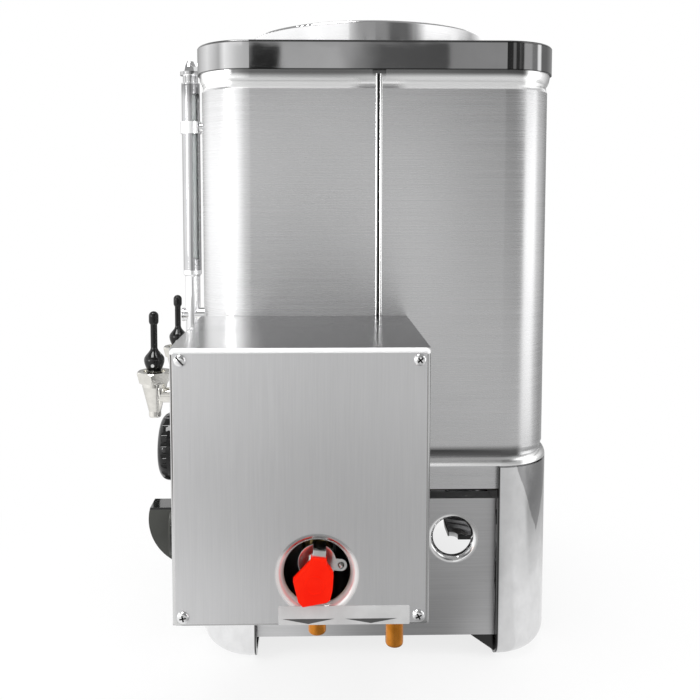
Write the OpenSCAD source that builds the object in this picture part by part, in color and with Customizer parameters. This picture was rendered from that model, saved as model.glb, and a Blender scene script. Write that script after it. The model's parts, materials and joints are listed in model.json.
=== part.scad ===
// Gas coffee urn: square jacketed tank on cast corner feet, two lever taps, a gauge glass
// and a gas control box on the right-hand side. Millimetres, +Z up, taps towards -Y.

/* [Tank] */
// Width of the square tank
tank_w = 380; // [320:5:440]
// Corner radius of the tank
tank_r = 56.5; // [40:0.5:70]
// Sheet thickness of the tank, cover, skirts and box
sheet = 1.5; // [1:0.1:2.5]
// Height of the tank's lower edge above the ground
tank_z = 217; // [200:1:260]
// Height from the tank's lower edge to the top of its deck
tank_h = 449; // [400:1:520]
// How far the rolled lip at the tank's lower edge stands out
lip_out = 4; // [2:0.5:6]
// Height of the rolled lip at the tank's lower edge
lip_h = 9; // [6:0.5:12]
// How far the lip under the cover stands out
top_lip_out = 2.6; // [1:0.1:4]
// Height of the lip under the cover
top_lip_h = 11; // [8:0.5:14]
// Depth of the groove rolled beside each lip
groove_d = 1.2; // [0.6:0.1:2]
// Height of the groove rolled beside each lip
groove_h = 10; // [8:0.5:14]
// Height of the tank floor's turned-up edge
floor_edge = 4; // [3:0.5:5]
// Width of the vertical seam strip
seam_w = 7; // [6:0.5:9]
// Width of the groove along the seam strip
seam_groove = 1.8; // [1:0.1:2.5]
// How far the seam strip stands out
seam_out = 1.8; // [1:0.1:2.5]
// Sideways place of the seam strip
seam_y = 1; // [-10:1:10]

/* [Top cover and lid] */
// How far the cover band stands out from the tank
rim_out = 4.5; // [3:0.5:8]
// Height of the cover band
rim_h = 30; // [20:1:40]
// Radius of the cover's upper edge
rim_edge = 2; // [2:0.5:4]
// Outer radius of the lid
lid_r = 145.5; // [130:0.5:150]
// Height of the lid's edge above the deck
lid_h = 30.5; // [20:0.5:36]
// Radial room between the lid and the collar it closes
lid_gap = 1.5; // [1:0.1:3]
// Radius of the lid knob
knob_r = 17; // [12:0.5:22]
// Height of the lid knob
knob_h = 23; // [18:1:28]

/* [Liner and basket] */
// How far the coffee liner is set inside the collar
liner_in = 8.5; // [6:0.5:20]
// Height of the liner's floor above the tank's lower edge
liner_lift = 73; // [65:1:120]
// How far the brew basket is set inside the liner
basket_in = 8; // [5:0.5:20]
// Depth of the brew basket
basket_h = 108; // [60:1:140]
// Number of rings of drain holes in the basket
basket_rings = 3; // [2:1:4]
// Radius of a drain hole
drain_r = 3; // [1.5:0.25:4]

/* [Base] */
// Height of the band under the tank
band_h = 27; // [20:1:40]
// How far the band is set back from the tank
band_in = 2.5; // [1:0.5:5]
// Wall of a cast foot
foot_wall = 6.5; // [4:0.5:9]
// Radius of the foot's lower outer edge
foot_edge = 24; // [12:1:30]
// Length of the foot's straight lip past its arc
foot_lip = 3; // [1:0.5:8]
// Gap between a foot and the tank's lower edge
foot_gap = 2; // [1:0.5:4]
// Length of the brace behind each foot
brace_l = 58; // [45:1:70]
// Height of the brace behind each foot
brace_h = 110; // [90:1:130]
// Ground clearance under the skirt panels
skirt_z = 24; // [15:1:40]
// Height of the dark gap between the band and the skirt panels
skirt_gap = 12.5; // [8:0.5:16]
// Depth of the fold along the top of a skirt panel
skirt_fold = 22; // [10:1:23]
// How far a skirt panel's side edge is short of the corner's centre
skirt_short = 2.3; // [1:0.1:4]
// How far the skirt panels are set back from the tank
skirt_in = 8; // [6:0.5:12]
// Radius of the air hole
air_r = 21.2; // [15:0.1:25]
// Width of the drawn lip round the air hole
air_lip = 7; // [3:0.5:8]
// Sideways place of the air hole
air_y = 84; // [60:1:100]
// Height of the air hole above the skirt panel's lower edge
air_up = 109.5; // [80:0.5:120]

/* [Burner] */
// Mean radius of the ring burner
burner_r = 76; // [60:1:90]
// Half width of the ring burner
burner_w = 15; // [10:1:20]
// Distance of the burner's underside below the tank
burner_drop = 79; // [70:1:90]
// Height of the ring burner
burner_h = 30; // [20:1:40]
// Number of flame ports
ports = 24; // [12:1:36]
// Radius of a flame port
port_r = 2; // [1:0.25:3]

/* [Control box] */
// How far the box hangs below the tank's lower edge
box_drop = 75; // [60:1:85]
// Height of the box
box_h = 237; // [200:1:260]
// Place of the box's tap-side wall
box_y0 = -186; // [-190:1:-170]
// Width of the box
box_w = 217; // [190:1:230]
// Distance from the tank's side to the cover's face
box_d = 195; // [170:1:220]
// Room left behind the box for the tank's lip
box_gap = 6; // [5:0.5:10]
// Radius of the box's edges round the cover
box_edge = 4; // [2:0.5:5]
// Width of the flange that the cover is screwed to
box_flange = 16; // [12:1:20]
// Inset of the cover screws from the box's edges
screw_in = 9.5; // [7:0.5:11]
// Head radius of a cover screw
screw_head = 5.3; // [4:0.1:6]
// Shank radius of a cover screw
screw_r = 2; // [1.5:0.1:2.5]

/* [Gas valve] */
// Sideways place of the gas line
gas_y = -64; // [-80:1:-50]
// Height of the valve's stem above the underside of the box
valve_up = 50; // [44:1:58]
// Distance of the valve's tube seats from its stem
valve_port = 22; // [20:1:26]
// Width across the flats of the valve's ends
valve_af = 25; // [22:1:28]
// Radius of the hole in the cover
port_hole_r = 28.3; // [26:0.1:32]
// Width of the drawn lip round that hole
port_lip = 7; // [4:0.1:8]
// How far that hole lies below the valve's stem
port_drop = 4.5; // [0:0.5:5]
// Outer radius of the copper tubes
tube_r = 7.95; // [6:0.05:10]
// Wall of the copper tubes
tube_wall = 1; // [0.7:0.1:1.5]
// Distance of the inlet tubes behind the cover's face
inlet_in = 40; // [36:1:45]
// How far the gas inlet reaches below the box
gas_stub = 26; // [20:1:40]
// Distance of the water inlet from the box's rear wall
water_in = 26; // [18:1:40]
// How far the water inlet reaches below the box
water_stub = 38; // [25:1:45]
// Radius of the valve's stem
valve_stem_r = 4.5; // [3.5:0.1:6]
// Radius of the handle's disc
disc_r = 16.5; // [14:0.5:18]
// Width of the handle's strip
strip_w = 11; // [9:0.5:13]
// Thickness of the handle's plate
strip_t = 2; // [1.5:0.1:3]
// Radius of the lock ear beside the disc
ear_r = 5.4; // [4.5:0.1:6.5]
// Radius of the hole in the lock ear
ear_hole = 2.6; // [2:0.1:3.5]
// Lean of the handle from straight down
handle_lean = 7; // [0:1:15]
// Width of the grip
grip_w = 33.5; // [26:0.5:36]
// Length of the grip from its neck to its tip
grip_l = 41; // [40:1:46]
// Thickness of the grip
grip_t = 9; // [7:0.5:11]

/* [Front controls] */
// Distance of both controls behind the cover's face
ctrl_in = 45; // [40:1:60]
// Width of the gas control's body
ctrl_w = 52; // [44:1:60]
// Depth of the gas control's body
ctrl_d = 58; // [50:1:70]
// Height of the thermostat dial above the underside of the box
dial_up = 143; // [133:1:153]
// Radius of the thermostat dial
dial_r = 29.4; // [24:0.2:32]
// Depth of the thermostat dial
dial_d = 12; // [9:0.5:18]
// Number of flutes on the dial
flutes = 20; // [12:1:28]
// Height of the gas knob above the underside of the box
gas_knob_up = 68; // [63:1:72]
// Depth of the gas knob
gas_knob_d = 20.5; // [18:0.5:30]
// Half length of the gas knob
gas_knob_l = 23.5; // [22:0.5:28]
// Width of the gas knob's bar
gas_knob_w = 22; // [16:1:28]
// Travel when the gas knob is pushed in
push = 4; // [2:0.5:5]
// Radius of both control shafts
shaft_r = 4; // [3:0.1:5]

/* [Taps] */
// Sideways distance of each tap from the tank's middle
tap_x = 84; // [70:1:110]
// Distance of the tap's axis in front of the tank
tap_out = 67; // [55:1:80]
// Height of the tap's shank above the tank's lower edge
shank_up = 53; // [48:1:58]
// Radius of the tap's shank
shank_r = 9; // [8:0.25:10.5]
// Length of the shank inside the tank
shank_in = 24; // [18:1:30]
// Height of the tap's body above its shank
tap_rise = 14; // [13:0.5:20]
// Upper radius of the tap's body
tap_body_r = 14.5; // [13:0.5:16]
// Lower radius of the tap's body
spout_r = 7.2; // [6.5:0.1:8.5]
// Distance of the spout's mouth below the shank
spout_drop = 26; // [22:1:32]
// Bore of the tap's spout
spout_bore = 4.5; // [3.5:0.1:5]
// Width across the flats of the tap's bonnet
bonnet_af = 38; // [36:1:42]
// Taper of the bonnet across its flats
bonnet_taper = 6; // [2:0.5:8]
// Height of the tap's bonnet
bonnet_h = 15.5; // [14:0.5:20]
// Radius of the cup in the bonnet's upper face
cup_r = 13; // [12:0.5:15]
// Radius of the tap's stem
stem_r = 4; // [3:0.1:4.5]
// Thickness of the tang that the stem ends in
tang_t = 4; // [3:0.1:5]
// Height of the lever's pin above the bonnet
pin_up = 7.5; // [6:0.1:9]
// Radius of the lever's pin
pin_r = 2; // [1.5:0.1:2.2]
// Length of the lever
lever_l = 70.5; // [60:0.5:80]
// Radius of the lever's heel
heel_r = 8; // [7:0.1:9]
// Largest radius of the lever's flare
flare_r = 12; // [11:0.1:13]
// Height of that flare above the heel
flare_up = 13; // [10:0.5:16]
// Length over which the flare falls away to the neck
flare_fall = 14.3; // [10:0.1:18]
// Radius of the lever's neck
lever_neck = 4; // [3.5:0.1:5]
// Radius of the lever's rounded tip
tip_r = 5.7; // [5:0.1:7]
// Length of the lever's rounded tip
tip_l = 17.5; // [13:0.5:20]

/* [Gauge] */
// Distance of the gauge in front of the tank
gauge_out = 33; // [30:1:40]
// Outer radius of the guard tube
guard_r = 11.3; // [10.5:0.1:13]
// Lower end of the guard tube above the gauge's shank
guard_up = 57; // [50:1:65]
// Length of the guard tube
guard_h = 234; // [200:1:250]
// Width of the guard's sight slots
slot_w = 8; // [5:0.5:10]
// Direction of the sight slots, from the control box's side towards the rear
slot_turn = 34; // [0:1:90]
// Outer radius of the glass tube
glass_r = 8; // [7:0.1:8.5]
// Height of the gauge's shank above the liner's floor
gauge_up = 65; // [60:1:72]
// Length of the gauge's foot below its shank
gauge_foot = 24; // [15:1:28]
// Distance of the guard's clip below its upper end
clip_drop = 54; // [30:1:80]
// Height of the guard's clip
clip_h = 15; // [8:0.5:18]

/* [Fits] */
// Radial clearance of turning and sliding shafts
run = 0.05; // [0.02:0.01:0.1]
// Radial clearance of a fixed piece in a sheet-metal hole
hole_fit = 0.3; // [0.2:0.05:0.6]

/* [Hidden] */
$fn = 72;
th = tank_w / 2;
tc = th - tank_r;
deck = tank_z + tank_h;
rim_half = th + rim_out;
band_half = th - band_in;
band_r = tank_r - band_in;
band_z = tank_z - band_h;
foot_top = tank_z - foot_gap;
skirt_top = band_z - skirt_gap;
air_z = skirt_z + air_up;
burner_z = tank_z - burner_drop;
box_z = tank_z - box_drop;
foot_out = band_r + foot_wall;
skirt_x = th - skirt_in;
face_x = th + box_d;
back_x = th + box_gap;
box_y1 = box_y0 + box_w;
box_top = box_z + box_h;
valve_z = box_z + valve_up;
port_z = valve_z - port_drop;
gas_end = box_z - gas_stub;
water_end = box_z - water_stub;
dial_z = box_z + dial_up;
gas_knob_z = box_z + gas_knob_up;
line_x = face_x - inlet_in;
ctrl_x = face_x - ctrl_in;
grip_back = face_x + 1.2;
grip_front = grip_back + grip_t;
tap_y = -th - tap_out;
shank_z = tank_z + shank_up;
tap_top = shank_z + tap_rise;
spout_z = shank_z - spout_drop;
bonnet_z = tap_top + 1.5;
bonnet_top = tap_top + bonnet_h;
pin_z = bonnet_top + pin_up;
seat_z = tap_top - 28;
neck_r = tap_body_r - 3.5;
lever_z = bonnet_top + 0.3;
seat_r = spout_bore + 1.1;
gauge_y = -th - gauge_out;
liner_z = tank_z + liner_lift;
gauge_shank_z = liner_z + gauge_up;
guard_z = gauge_shank_z + guard_up;
guard_top = guard_z + guard_h;
clip_z = guard_top - clip_drop;
liner_flange = sheet;
collar_r = lid_r - sheet - lid_gap;
liner_r = collar_r - liner_in;
basket_r = liner_r - basket_in;
collar_top = deck + lid_h - sheet;
lid_top = deck + lid_h + 2;
outlet = [-tap_x, -sqrt(pow(liner_r - 2 * shank_r, 2) - tap_x * tap_x)];
bracket_z = burner_z - 6 - 5;
feed_y = gas_y + 24;
feed_z = burner_z + burner_h / 2;
feed_r = 5;
feed_x = back_x + 30;
feed_top = dial_z - 20;
feed_start = ctrl_x - 14;
water_y = box_y1 - water_in;
water_z = valve_z + 108;
water_join = box_z + (water_z - box_z) / 5;
probe_y = -th + 40;
ctrl_front = box_y0 + sheet;
ctrl_back = ctrl_front + ctrl_d;
union_r = tube_r + 3;
centre_x = (grip_front - rim_half) / 2;
centre_y = (rim_half + tap_y - bonnet_af / 2) / 2;

// Colours of the materials
steel = [0.78, 0.78, 0.79];
bright = [0.88, 0.88, 0.9];
cast = [0.7, 0.7, 0.72];
iron = [0.2, 0.2, 0.21];
copper = [0.72, 0.43, 0.24];
brass = [0.76, 0.62, 0.3];
nickel = [0.83, 0.81, 0.76];
black = [0.06, 0.06, 0.065];
red = [0.85, 0.1, 0.06];
clear = [0.8, 0.88, 0.9, 0.4];
rubber = [0.55, 0.55, 0.52];

// Shared shapes

module placed() {
    translate([-centre_x, -centre_y, 0])
        children();
}

module rounded(half, r) {
    square([2 * half, 2 * (half - r)], center = true);
    square([2 * (half - r), 2 * half], center = true);
    for (x = [-1, 1], y = [-1, 1])
        translate([x * (half - r), y * (half - r)])
            circle(r);
}

module slab(half, r, z0, z1) {
    translate([0, 0, z0])
        linear_extrude(z1 - z0)
            rounded(half, r);
}

// Carries a profile round a rounded square: its x runs outwards from the face, its y upwards
module ring(half, r) {
    c = half - r;
    for (q = [0:3])
        rotate([0, 0, 90 * q]) {
            translate([c, c, 0])
                rotate_extrude(angle = 90)
                    translate([r, 0])
                        children();
            translate([half, c, 0])
                rotate([90, 0, 0])
                    linear_extrude(2 * c)
                        children();
        }
}

module along_x(x0, x1, r) {
    translate([x0, 0, 0])
        rotate([0, 90, 0])
            cylinder(r = r, h = x1 - x0);
}

module along_y(y0, y1, r) {
    translate([0, y0, 0])
        rotate([-90, 0, 0])
            cylinder(r = r, h = y1 - y0);
}

module hex(af, h) {
    cylinder(r = af / 2 / cos(30), h = h, $fn = 6);
}

// Tapered hexagon between two widths across the flats
module hex_taper(low, high, h) {
    intersection() {
        trapeze(low, high, h);
        rotate([0, 0, 60])
            trapeze(low, high, h);
        rotate([0, 0, 120])
            trapeze(low, high, h);
    }
}

module trapeze(low, high, h) {
    reach = max(low, high);
    translate([-reach, 0, 0])
        rotate([90, 0, 90])
            linear_extrude(2 * reach)
                polygon([[-low / 2, 0], [low / 2, 0], [high / 2, h], [-high / 2, h]]);
}

function unit(v) = v / norm(v);
function side(d) = abs(d[2]) > 0.9 ? [1, 0, 0] : [0, 0, 1];

module basis(x, y, z, o) {
    multmatrix([
        [x[0], y[0], z[0], o[0]],
        [x[1], y[1], z[1], o[1]],
        [x[2], y[2], z[2], o[2]],
        [0, 0, 0, 1]])
        children();
}

module rod(a, b, r) {
    d = unit(b - a);
    basis(side(d), cross(d, side(d)), d, a)
        cylinder(r = r, h = norm(b - a));
}

// Round bar along a path of square corners, each bent to a radius
module bent_rod(p, r, bend) {
    n = len(p);
    for (i = [0:n - 2])
        let (d = unit(p[i + 1] - p[i]))
            rod(p[i] + (i > 0 ? bend : 0) * d, p[i + 1] - (i < n - 2 ? bend : 0) * d, r);
    for (i = [1:n - 2])
        let (d = unit(p[i] - p[i - 1]), e = unit(p[i + 1] - p[i]))
            basis(-e, d, cross(-e, d), p[i] + bend * (e - d))
                rotate_extrude(angle = 90)
                    translate([bend, 0])
                        circle(r);
}

// Drawn lip that rolls inwards from a panel at x = 0 to a hole of radius r
module drawn_lip(r, w) {
    rotate([0, 90, 0])
        rotate_extrude()
            translate([r + w, -w])
                intersection() {
                    difference() {
                        circle(w);
                        circle(w - sheet);
                    }
                    translate([-w - 1, 0])
                        square(w + 1);
                }
}

// Tank

module tank_shell() {
    low = tank_z + lip_h + groove_h / 2 - 2;
    high = deck - rim_h - top_lip_h - groove_h / 2 + 2;
    color(steel) placed()
        difference() {
            union() {
                difference() {
                    slab(th, tank_r, tank_z, deck - sheet);
                    for (z = [low, high])
                        groove(z, 0);
                }
                lip(lip_out, lip_h, tank_z, 0);
                difference() {
                    lip(top_lip_out, top_lip_h, deck - rim_h - top_lip_h, 1);
                    for (m = [0, 1])
                        mirror([m, 0, 0])
                            translate([th, seam_y - seam_w, high])
                                cube([top_lip_out + 1, 2 * seam_w, deck - high]);
                }
            }
            difference() {
                slab(th - sheet, tank_r - sheet, tank_z - 1, deck);
                for (z = [low, high])
                    groove(z, sheet);
            }
            for (x = [-tap_x, tap_x])
                translate([x, 0, shank_z])
                    along_y(-th - 10, -th + 10, shank_r + hole_fit);
            translate([0, 0, gauge_shank_z])
                along_y(-th - 10, -th + 10, shank_r + hole_fit);
            translate([0, 0, clip_z])
                along_y(-th - 10, -th + 10, 2.5 + hole_fit);
            translate([0, probe_y, dial_z])
                along_x(tc, th + 10, shaft_r + hole_fit);
            translate([0, water_y, water_z])
                along_x(th - 10, th + 10, tube_r + hole_fit);
        }
}

// Half-round lip at one edge of the tank: fullest at its lower end, or at its upper end with up = 1
module lip(out, h, z, up) {
    r = (h * h + out * out) / (2 * out);
    translate([0, 0, z + up * h])
        ring(th, tank_r)
            intersection() {
                translate([out - r, 0])
                    circle(r);
                translate([-sheet, -up * h])
                    square([sheet + out, h]);
            }
}

// Round groove all round the tank, grown by a sheet's thickness for its inner side
module groove(z, grow) {
    r = (groove_h * groove_h / 4 + groove_d * groove_d) / (2 * groove_d);
    translate([0, 0, z])
        ring(th, tank_r)
            intersection() {
                translate([r - groove_d, 0])
                    circle(r + grow);
                translate([-groove_d - grow, -groove_h])
                    square([groove_d + grow + 1, 2 * groove_h]);
            }
}

module tank_floor() {
    color(steel) placed()
        difference() {
            slab(th - sheet, tank_r - sheet, tank_z, tank_z + floor_edge);
            slab(th - 2 * sheet, tank_r - 2 * sheet, tank_z + sheet, tank_z + floor_edge + 1);
        }
}

// Seam strips on two opposite sides: two round edges with a groove between them
module seam_strips() {
    top = deck - rim_h - 4;
    color(bright) placed() {
        strip(box_top - 12, top);
        mirror([1, 0, 0])
            strip(tank_z + lip_h + groove_h, top);
    }
}

module strip(z0, z1) {
    narrow = (seam_w - seam_groove) * 0.38 / 2;
    wide = (seam_w - seam_groove) / 2 - narrow;
    translate([th, seam_y, z0])
        linear_extrude(z1 - z0)
            intersection() {
                union() {
                    edge_round(-seam_w / 2 + narrow, narrow);
                    edge_round(seam_w / 2 - wide, wide);
                    translate([0, -seam_w / 2])
                        square([0.4, seam_w]);
                }
                translate([0, -seam_w])
                    square([seam_out, 2 * seam_w]);
            }
}

module edge_round(y, r) {
    translate([0, y - r])
        square([seam_out - r, 2 * r]);
    translate([seam_out - r, y])
        circle(r);
}

module top_cover() {
    color(bright) placed()
        difference() {
            capped(rim_half, tank_r + rim_out, deck, rim_edge, deck - rim_h);
            capped(rim_half - sheet, tank_r + rim_out - sheet, deck - sheet, rim_edge - sheet,
                deck - rim_h - 1);
            translate([0, 0, deck - 10])
                cylinder(r = liner_r + 1.5, h = 20);
        }
}

// Rounded square block with a rounded upper edge
module capped(half, r, top, edge, low) {
    slab(half, r, low, top - edge);
    slab(half - edge, r - edge, low, top);
    translate([0, 0, top - edge])
        ring(half, r)
            translate([-edge, 0])
                circle(edge);
}

module brew_collar() {
    color(bright) placed()
        translate([0, 0, deck])
            rotate_extrude() {
                translate([collar_r - sheet, 0])
                    square([sheet, collar_top - deck]);
                translate([collar_r - sheet, 0])
                    square([sheet + lid_gap, sheet]);
            }
}

// Liner and basket

module coffee_liner() {
    color(steel) placed()
        difference() {
            rotate_extrude() {
                translate([liner_r - sheet, liner_z])
                    square([sheet, deck + liner_flange - liner_z]);
                translate([0, liner_z])
                    square([liner_r, sheet]);
                translate([liner_r - sheet, deck])
                    square([collar_r - liner_r - 1, liner_flange]);
            }
            translate([outlet[0], outlet[1], liner_z - 5])
                cylinder(r = shank_r + hole_fit, h = 10);
            translate([0, 0, gauge_shank_z])
                along_y(-liner_r - 5, -liner_r + 12, shank_r + hole_fit);
        }
}

// Elbow that carries coffee from the liner's floor to the left tap
module liner_outlet() {
    color(steel) placed() {
        difference() {
            outlet_path(shank_r, liner_z + 3, 0);
            outlet_path(shank_r - sheet, liner_z + 4, 1);
        }
        translate([outlet[0], outlet[1], liner_z + sheet])
            rotate_extrude()
                translate([shank_r - 0.5, 0])
                    square([5, sheet]);
    }
}

module outlet_path(r, z1, past) {
    bent_rod([
        [outlet[0], outlet[1], z1],
        [outlet[0], outlet[1], shank_z],
        [outlet[0], tap_y + tap_out + shank_in - past, shank_z]], r, 14);
}

module filter_basket() {
    top = deck + liner_flange;
    color(steel) placed() {
        difference() {
            translate([0, 0, top])
                rotate_extrude() {
                    translate([basket_r - sheet, -basket_h])
                        square([sheet, basket_h + sheet]);
                    translate([0, -basket_h])
                        square([basket_r, sheet]);
                    translate([basket_r - sheet, 0])
                        square([collar_r - basket_r - 2.5, sheet]);
                }
            for (k = [1:basket_rings])
                for (i = [0:6 * k - 1])
                    rotate([0, 0, 360 / (6 * k) * i])
                        translate([k * basket_r / (basket_rings + 1), 0, top - basket_h - 1])
                            cylinder(r = drain_r, h = sheet + 2);
        }
        for (m = [0, 1])
            mirror([m, 0, 0])
                lift_loop(top + sheet);
    }
}

module lift_loop(z) {
    translate([basket_r + 4, 0, z])
        rotate([90, 0, 90])
            rotate_extrude(angle = 180)
                translate([9, 0])
                    circle(2);
}

module lid() {
    edge = lid_gap + sheet;
    top = deck + lid_h;
    color(bright) placed()
        rotate_extrude()
            difference() {
                union() {
                    translate([0, deck + 2.5])
                        square([lid_r, lid_h - 2.5 - edge]);
                    translate([0, top - edge])
                        square([lid_r - edge, edge]);
                    translate([lid_r - edge, top - edge])
                        circle(edge);
                    translate([0, top - sheet])
                        square([lid_r - 40, sheet + lid_top - top]);
                }
                translate([0, deck])
                    square([lid_r - sheet, lid_h - edge]);
                translate([0, deck])
                    square([lid_r - edge, lid_h - sheet]);
                translate([lid_r - edge, top - edge])
                    circle(edge - sheet);
                translate([-1, top - sheet - 1])
                    square([lid_r - 41, 1 + lid_top - top]);
                translate([-lid_r, deck])
                    square([lid_r, 2 * lid_h]);
            }
}

module lid_knob() {
    color(black) placed()
        translate([0, 0, lid_top])
            rotate_extrude() {
                square([8, knob_h - 10]);
                translate([0, knob_h - 15])
                    square([knob_r - 6, 15]);
                translate([0, knob_h - 9])
                    square([knob_r, 3]);
                for (y = [knob_h - 6, knob_h - 9])
                    translate([knob_r - 6, y])
                        intersection() {
                            circle(6);
                            translate([-6, -6])
                                square([12, 12]);
                        }
            }
}

// Base

module base_band() {
    color(steel) placed()
        difference() {
            slab(band_half, band_r, band_z, tank_z);
            slab(band_half - 2, band_r - 2, band_z + 2, tank_z + 1);
            slab(band_half - 18, band_r - 18, band_z - 1, tank_z + 1);
        }
}

module foot_profile() {
    flat = foot_out - foot_edge;
    wall = foot_wall;
    difference() {
        union() {
            translate([10, 0])
                square([flat - 10, foot_top]);
            translate([flat, foot_edge])
                square([foot_edge, foot_top - foot_edge]);
            translate([flat, foot_edge])
                circle(foot_edge);
        }
        translate([0, wall])
            square([flat, tank_z]);
        translate([flat - 1, foot_edge])
            square([foot_edge - wall + 1, tank_z]);
        translate([flat, foot_edge])
            circle(foot_edge - wall);
    }
}

// Corner foot for the +X +Y corner: arc, two lips, four tabs behind the skirts and one brace
module foot() {
    tab_t = 5;
    tab_x = skirt_x - sheet - tab_t;
    reach = tab_x + tab_t - tc;
    tab_end = tc + sqrt(foot_out * foot_out - reach * reach) - 2;
    translate([tc, tc, 0]) {
        rotate_extrude(angle = 90)
            foot_profile();
        rotate([90, 0, 0])
            linear_extrude(foot_lip)
                foot_profile();
        translate([-foot_lip, 0, 0])
            rotate([90, 0, 90])
                linear_extrude(foot_lip)
                    foot_profile();
    }
    for (z = [skirt_z + 40, skirt_top - 30]) {
        translate([tab_x, tc - 20, z])
            cube([tab_t, tab_end - tc + 20, 15]);
        translate([tc - 20, tab_x, z])
            cube([tab_end - tc + 20, tab_t, 15]);
    }
    translate([tab_x, 0, 0])
        rotate([90, 0, 90])
            linear_extrude(tab_t)
                polygon([[tc + 6, 3.5], [tc - 1, 3.5], [tc - 0.6 * brace_l, 0.25 * brace_h],
                    [tc - brace_l, 0.4 * brace_h], [tc - brace_l, 0.55 * brace_h],
                    [tc + 6, brace_h]]);
}

module foot_rear_right() {
    color(cast) placed()
        foot();
}

module foot_rear_left() {
    color(cast) placed()
        rotate([0, 0, 90])
            foot();
}

module foot_front_left() {
    color(cast) placed()
        rotate([0, 0, 180])
            foot();
}

module foot_front_right() {
    color(cast) placed()
        rotate([0, 0, 270])
            foot();
}

// Skirt panel for the +X side with its air hole, top fold and rounded side edges
module skirt() {
    half = tc - skirt_short;
    difference() {
        union() {
            translate([skirt_x - sheet, -half + sheet, skirt_z])
                cube([sheet, 2 * (half - sheet), skirt_top - skirt_z]);
            for (m = [0, 1])
                mirror([0, m, 0])
                    translate([skirt_x - sheet, half - sheet, skirt_z])
                        intersection() {
                            cylinder(r = sheet, h = skirt_top - skirt_z);
                            cube([sheet, sheet, skirt_top]);
                        }
            translate([skirt_x - 12, -60, skirt_z])
                cube([12, 120, sheet]);
            translate([skirt_x - skirt_fold, -half + 4, skirt_top - sheet])
                cube([skirt_fold, 2 * (half - 4), sheet]);
        }
        translate([0, air_y, air_z])
            along_x(skirt_x - 5, skirt_x + 5, air_r + air_lip);
    }
    translate([skirt_x, air_y, air_z])
        drawn_lip(air_r, air_lip);
}

module skirt_right() {
    color(steel) placed()
        difference() {
            skirt();
            translate([0, feed_y, feed_z])
                along_x(skirt_x - 5, skirt_x + 5, feed_r + hole_fit);
        }
}

module skirt_rear() {
    color(steel) placed()
        rotate([0, 0, 90])
            skirt();
}

module skirt_left() {
    color(steel) placed()
        rotate([0, 0, 180])
            skirt();
}

module skirt_front() {
    color(steel) placed()
        rotate([0, 0, 270])
            skirt();
}

// Burner

module burner() {
    mix_x = sqrt(burner_r * burner_r - feed_y * feed_y);
    color(iron) placed()
        difference() {
            union() {
                translate([0, 0, burner_z])
                    rotate_extrude()
                        translate([burner_r - burner_w, 0])
                            square([2 * burner_w, burner_h]);
                translate([0, feed_y, feed_z])
                    along_x(mix_x, mix_x + 60, 11);
                translate([0, feed_y, feed_z])
                    along_x(mix_x + 56, mix_x + 66, 15);
            }
            translate([0, 0, burner_z + 6])
                rotate_extrude()
                    translate([burner_r - burner_w + 5, 0])
                        square([2 * burner_w - 10, burner_h - 12]);
            translate([0, feed_y, feed_z])
                along_x(mix_x, mix_x + 61, 8);
            translate([0, feed_y, feed_z])
                along_x(mix_x + 50, mix_x + 70, feed_r + run);
            for (i = [0:ports - 1])
                rotate([0, 0, 360 / ports * i])
                    translate([burner_r, 0, burner_z + burner_h - 8])
                        cylinder(r = port_r, h = 10);
        }
}

module burner_bracket() {
    reach = skirt_x - sheet;
    color(iron) placed() {
        translate([-15, -reach, bracket_z])
            cube([30, 2 * reach, 5]);
        for (y = [-1, 1])
            translate([0, y * burner_r, bracket_z + 5])
                cylinder(r = 8, h = burner_z - bracket_z - 5);
    }
}

module gas_feed_pipe() {
    end_x = sqrt(burner_r * burner_r - feed_y * feed_y) + 61;
    color(bright) placed()
        bent_rod([
            [feed_start, ctrl_back, feed_top],
            [feed_start, feed_y, feed_top],
            [feed_x, feed_y, feed_top],
            [feed_x, feed_y, feed_z],
            [end_x, feed_y, feed_z]], feed_r, 15);
}

// Control box

module box_shell() {
    t = sheet;
    inner = face_x - t;
    color(steel) placed()
        difference() {
            union() {
                difference() {
                    soft_box(inner);
                    translate([back_x + t, box_y0 + t, box_z + t])
                        cube([inner - back_x - 2 * t, box_w - 2 * t, box_h - 2 * t]);
                    translate([inner - 5, box_y0 + box_flange, box_z + box_flange])
                        cube([10, box_w - 2 * box_flange, box_h - 2 * box_flange]);
                }
                translate([th, box_y0, box_top - t])
                    cube([box_gap + 1, box_w, t]);
                for (k = [0.4, 0.77], z = [tank_z + 40, box_top - 30])
                    translate([0, box_y0 + k * box_w, z])
                        along_x(th, back_x + 1, 8);
            }
            translate([th - 1, seam_y - seam_w / 2 - 1.5, box_top - 5])
                cube([seam_out + 2.5, seam_w + 3, 10]);
            cover_holes(screw_r + hole_fit);
            translate([0, gas_y, port_z])
                along_x(inner - 2 * t, face_x, port_hole_r + port_lip + 0.3);
            translate([ctrl_x, 0, dial_z])
                along_y(box_y0 - 5, box_y0 + 5, shaft_r + 1);
            translate([ctrl_x, 0, gas_knob_z])
                along_y(box_y0 - 5, box_y0 + 5, shaft_r + 1);
            translate([line_x, gas_y, box_z - 5])
                cylinder(r = tube_r + hole_fit, h = 10);
            translate([line_x, water_y, box_z - 5])
                cylinder(r = tube_r + hole_fit, h = 10);
            translate([0, feed_y, feed_z])
                along_x(back_x - 5, back_x + 5, feed_r + hole_fit);
            translate([0, water_y, water_z])
                along_x(back_x - 5, back_x + 5, tube_r + hole_fit);
            translate([0, probe_y, dial_z])
                along_x(back_x - 5, back_x + 5, shaft_r + hole_fit);
        }
}

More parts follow.
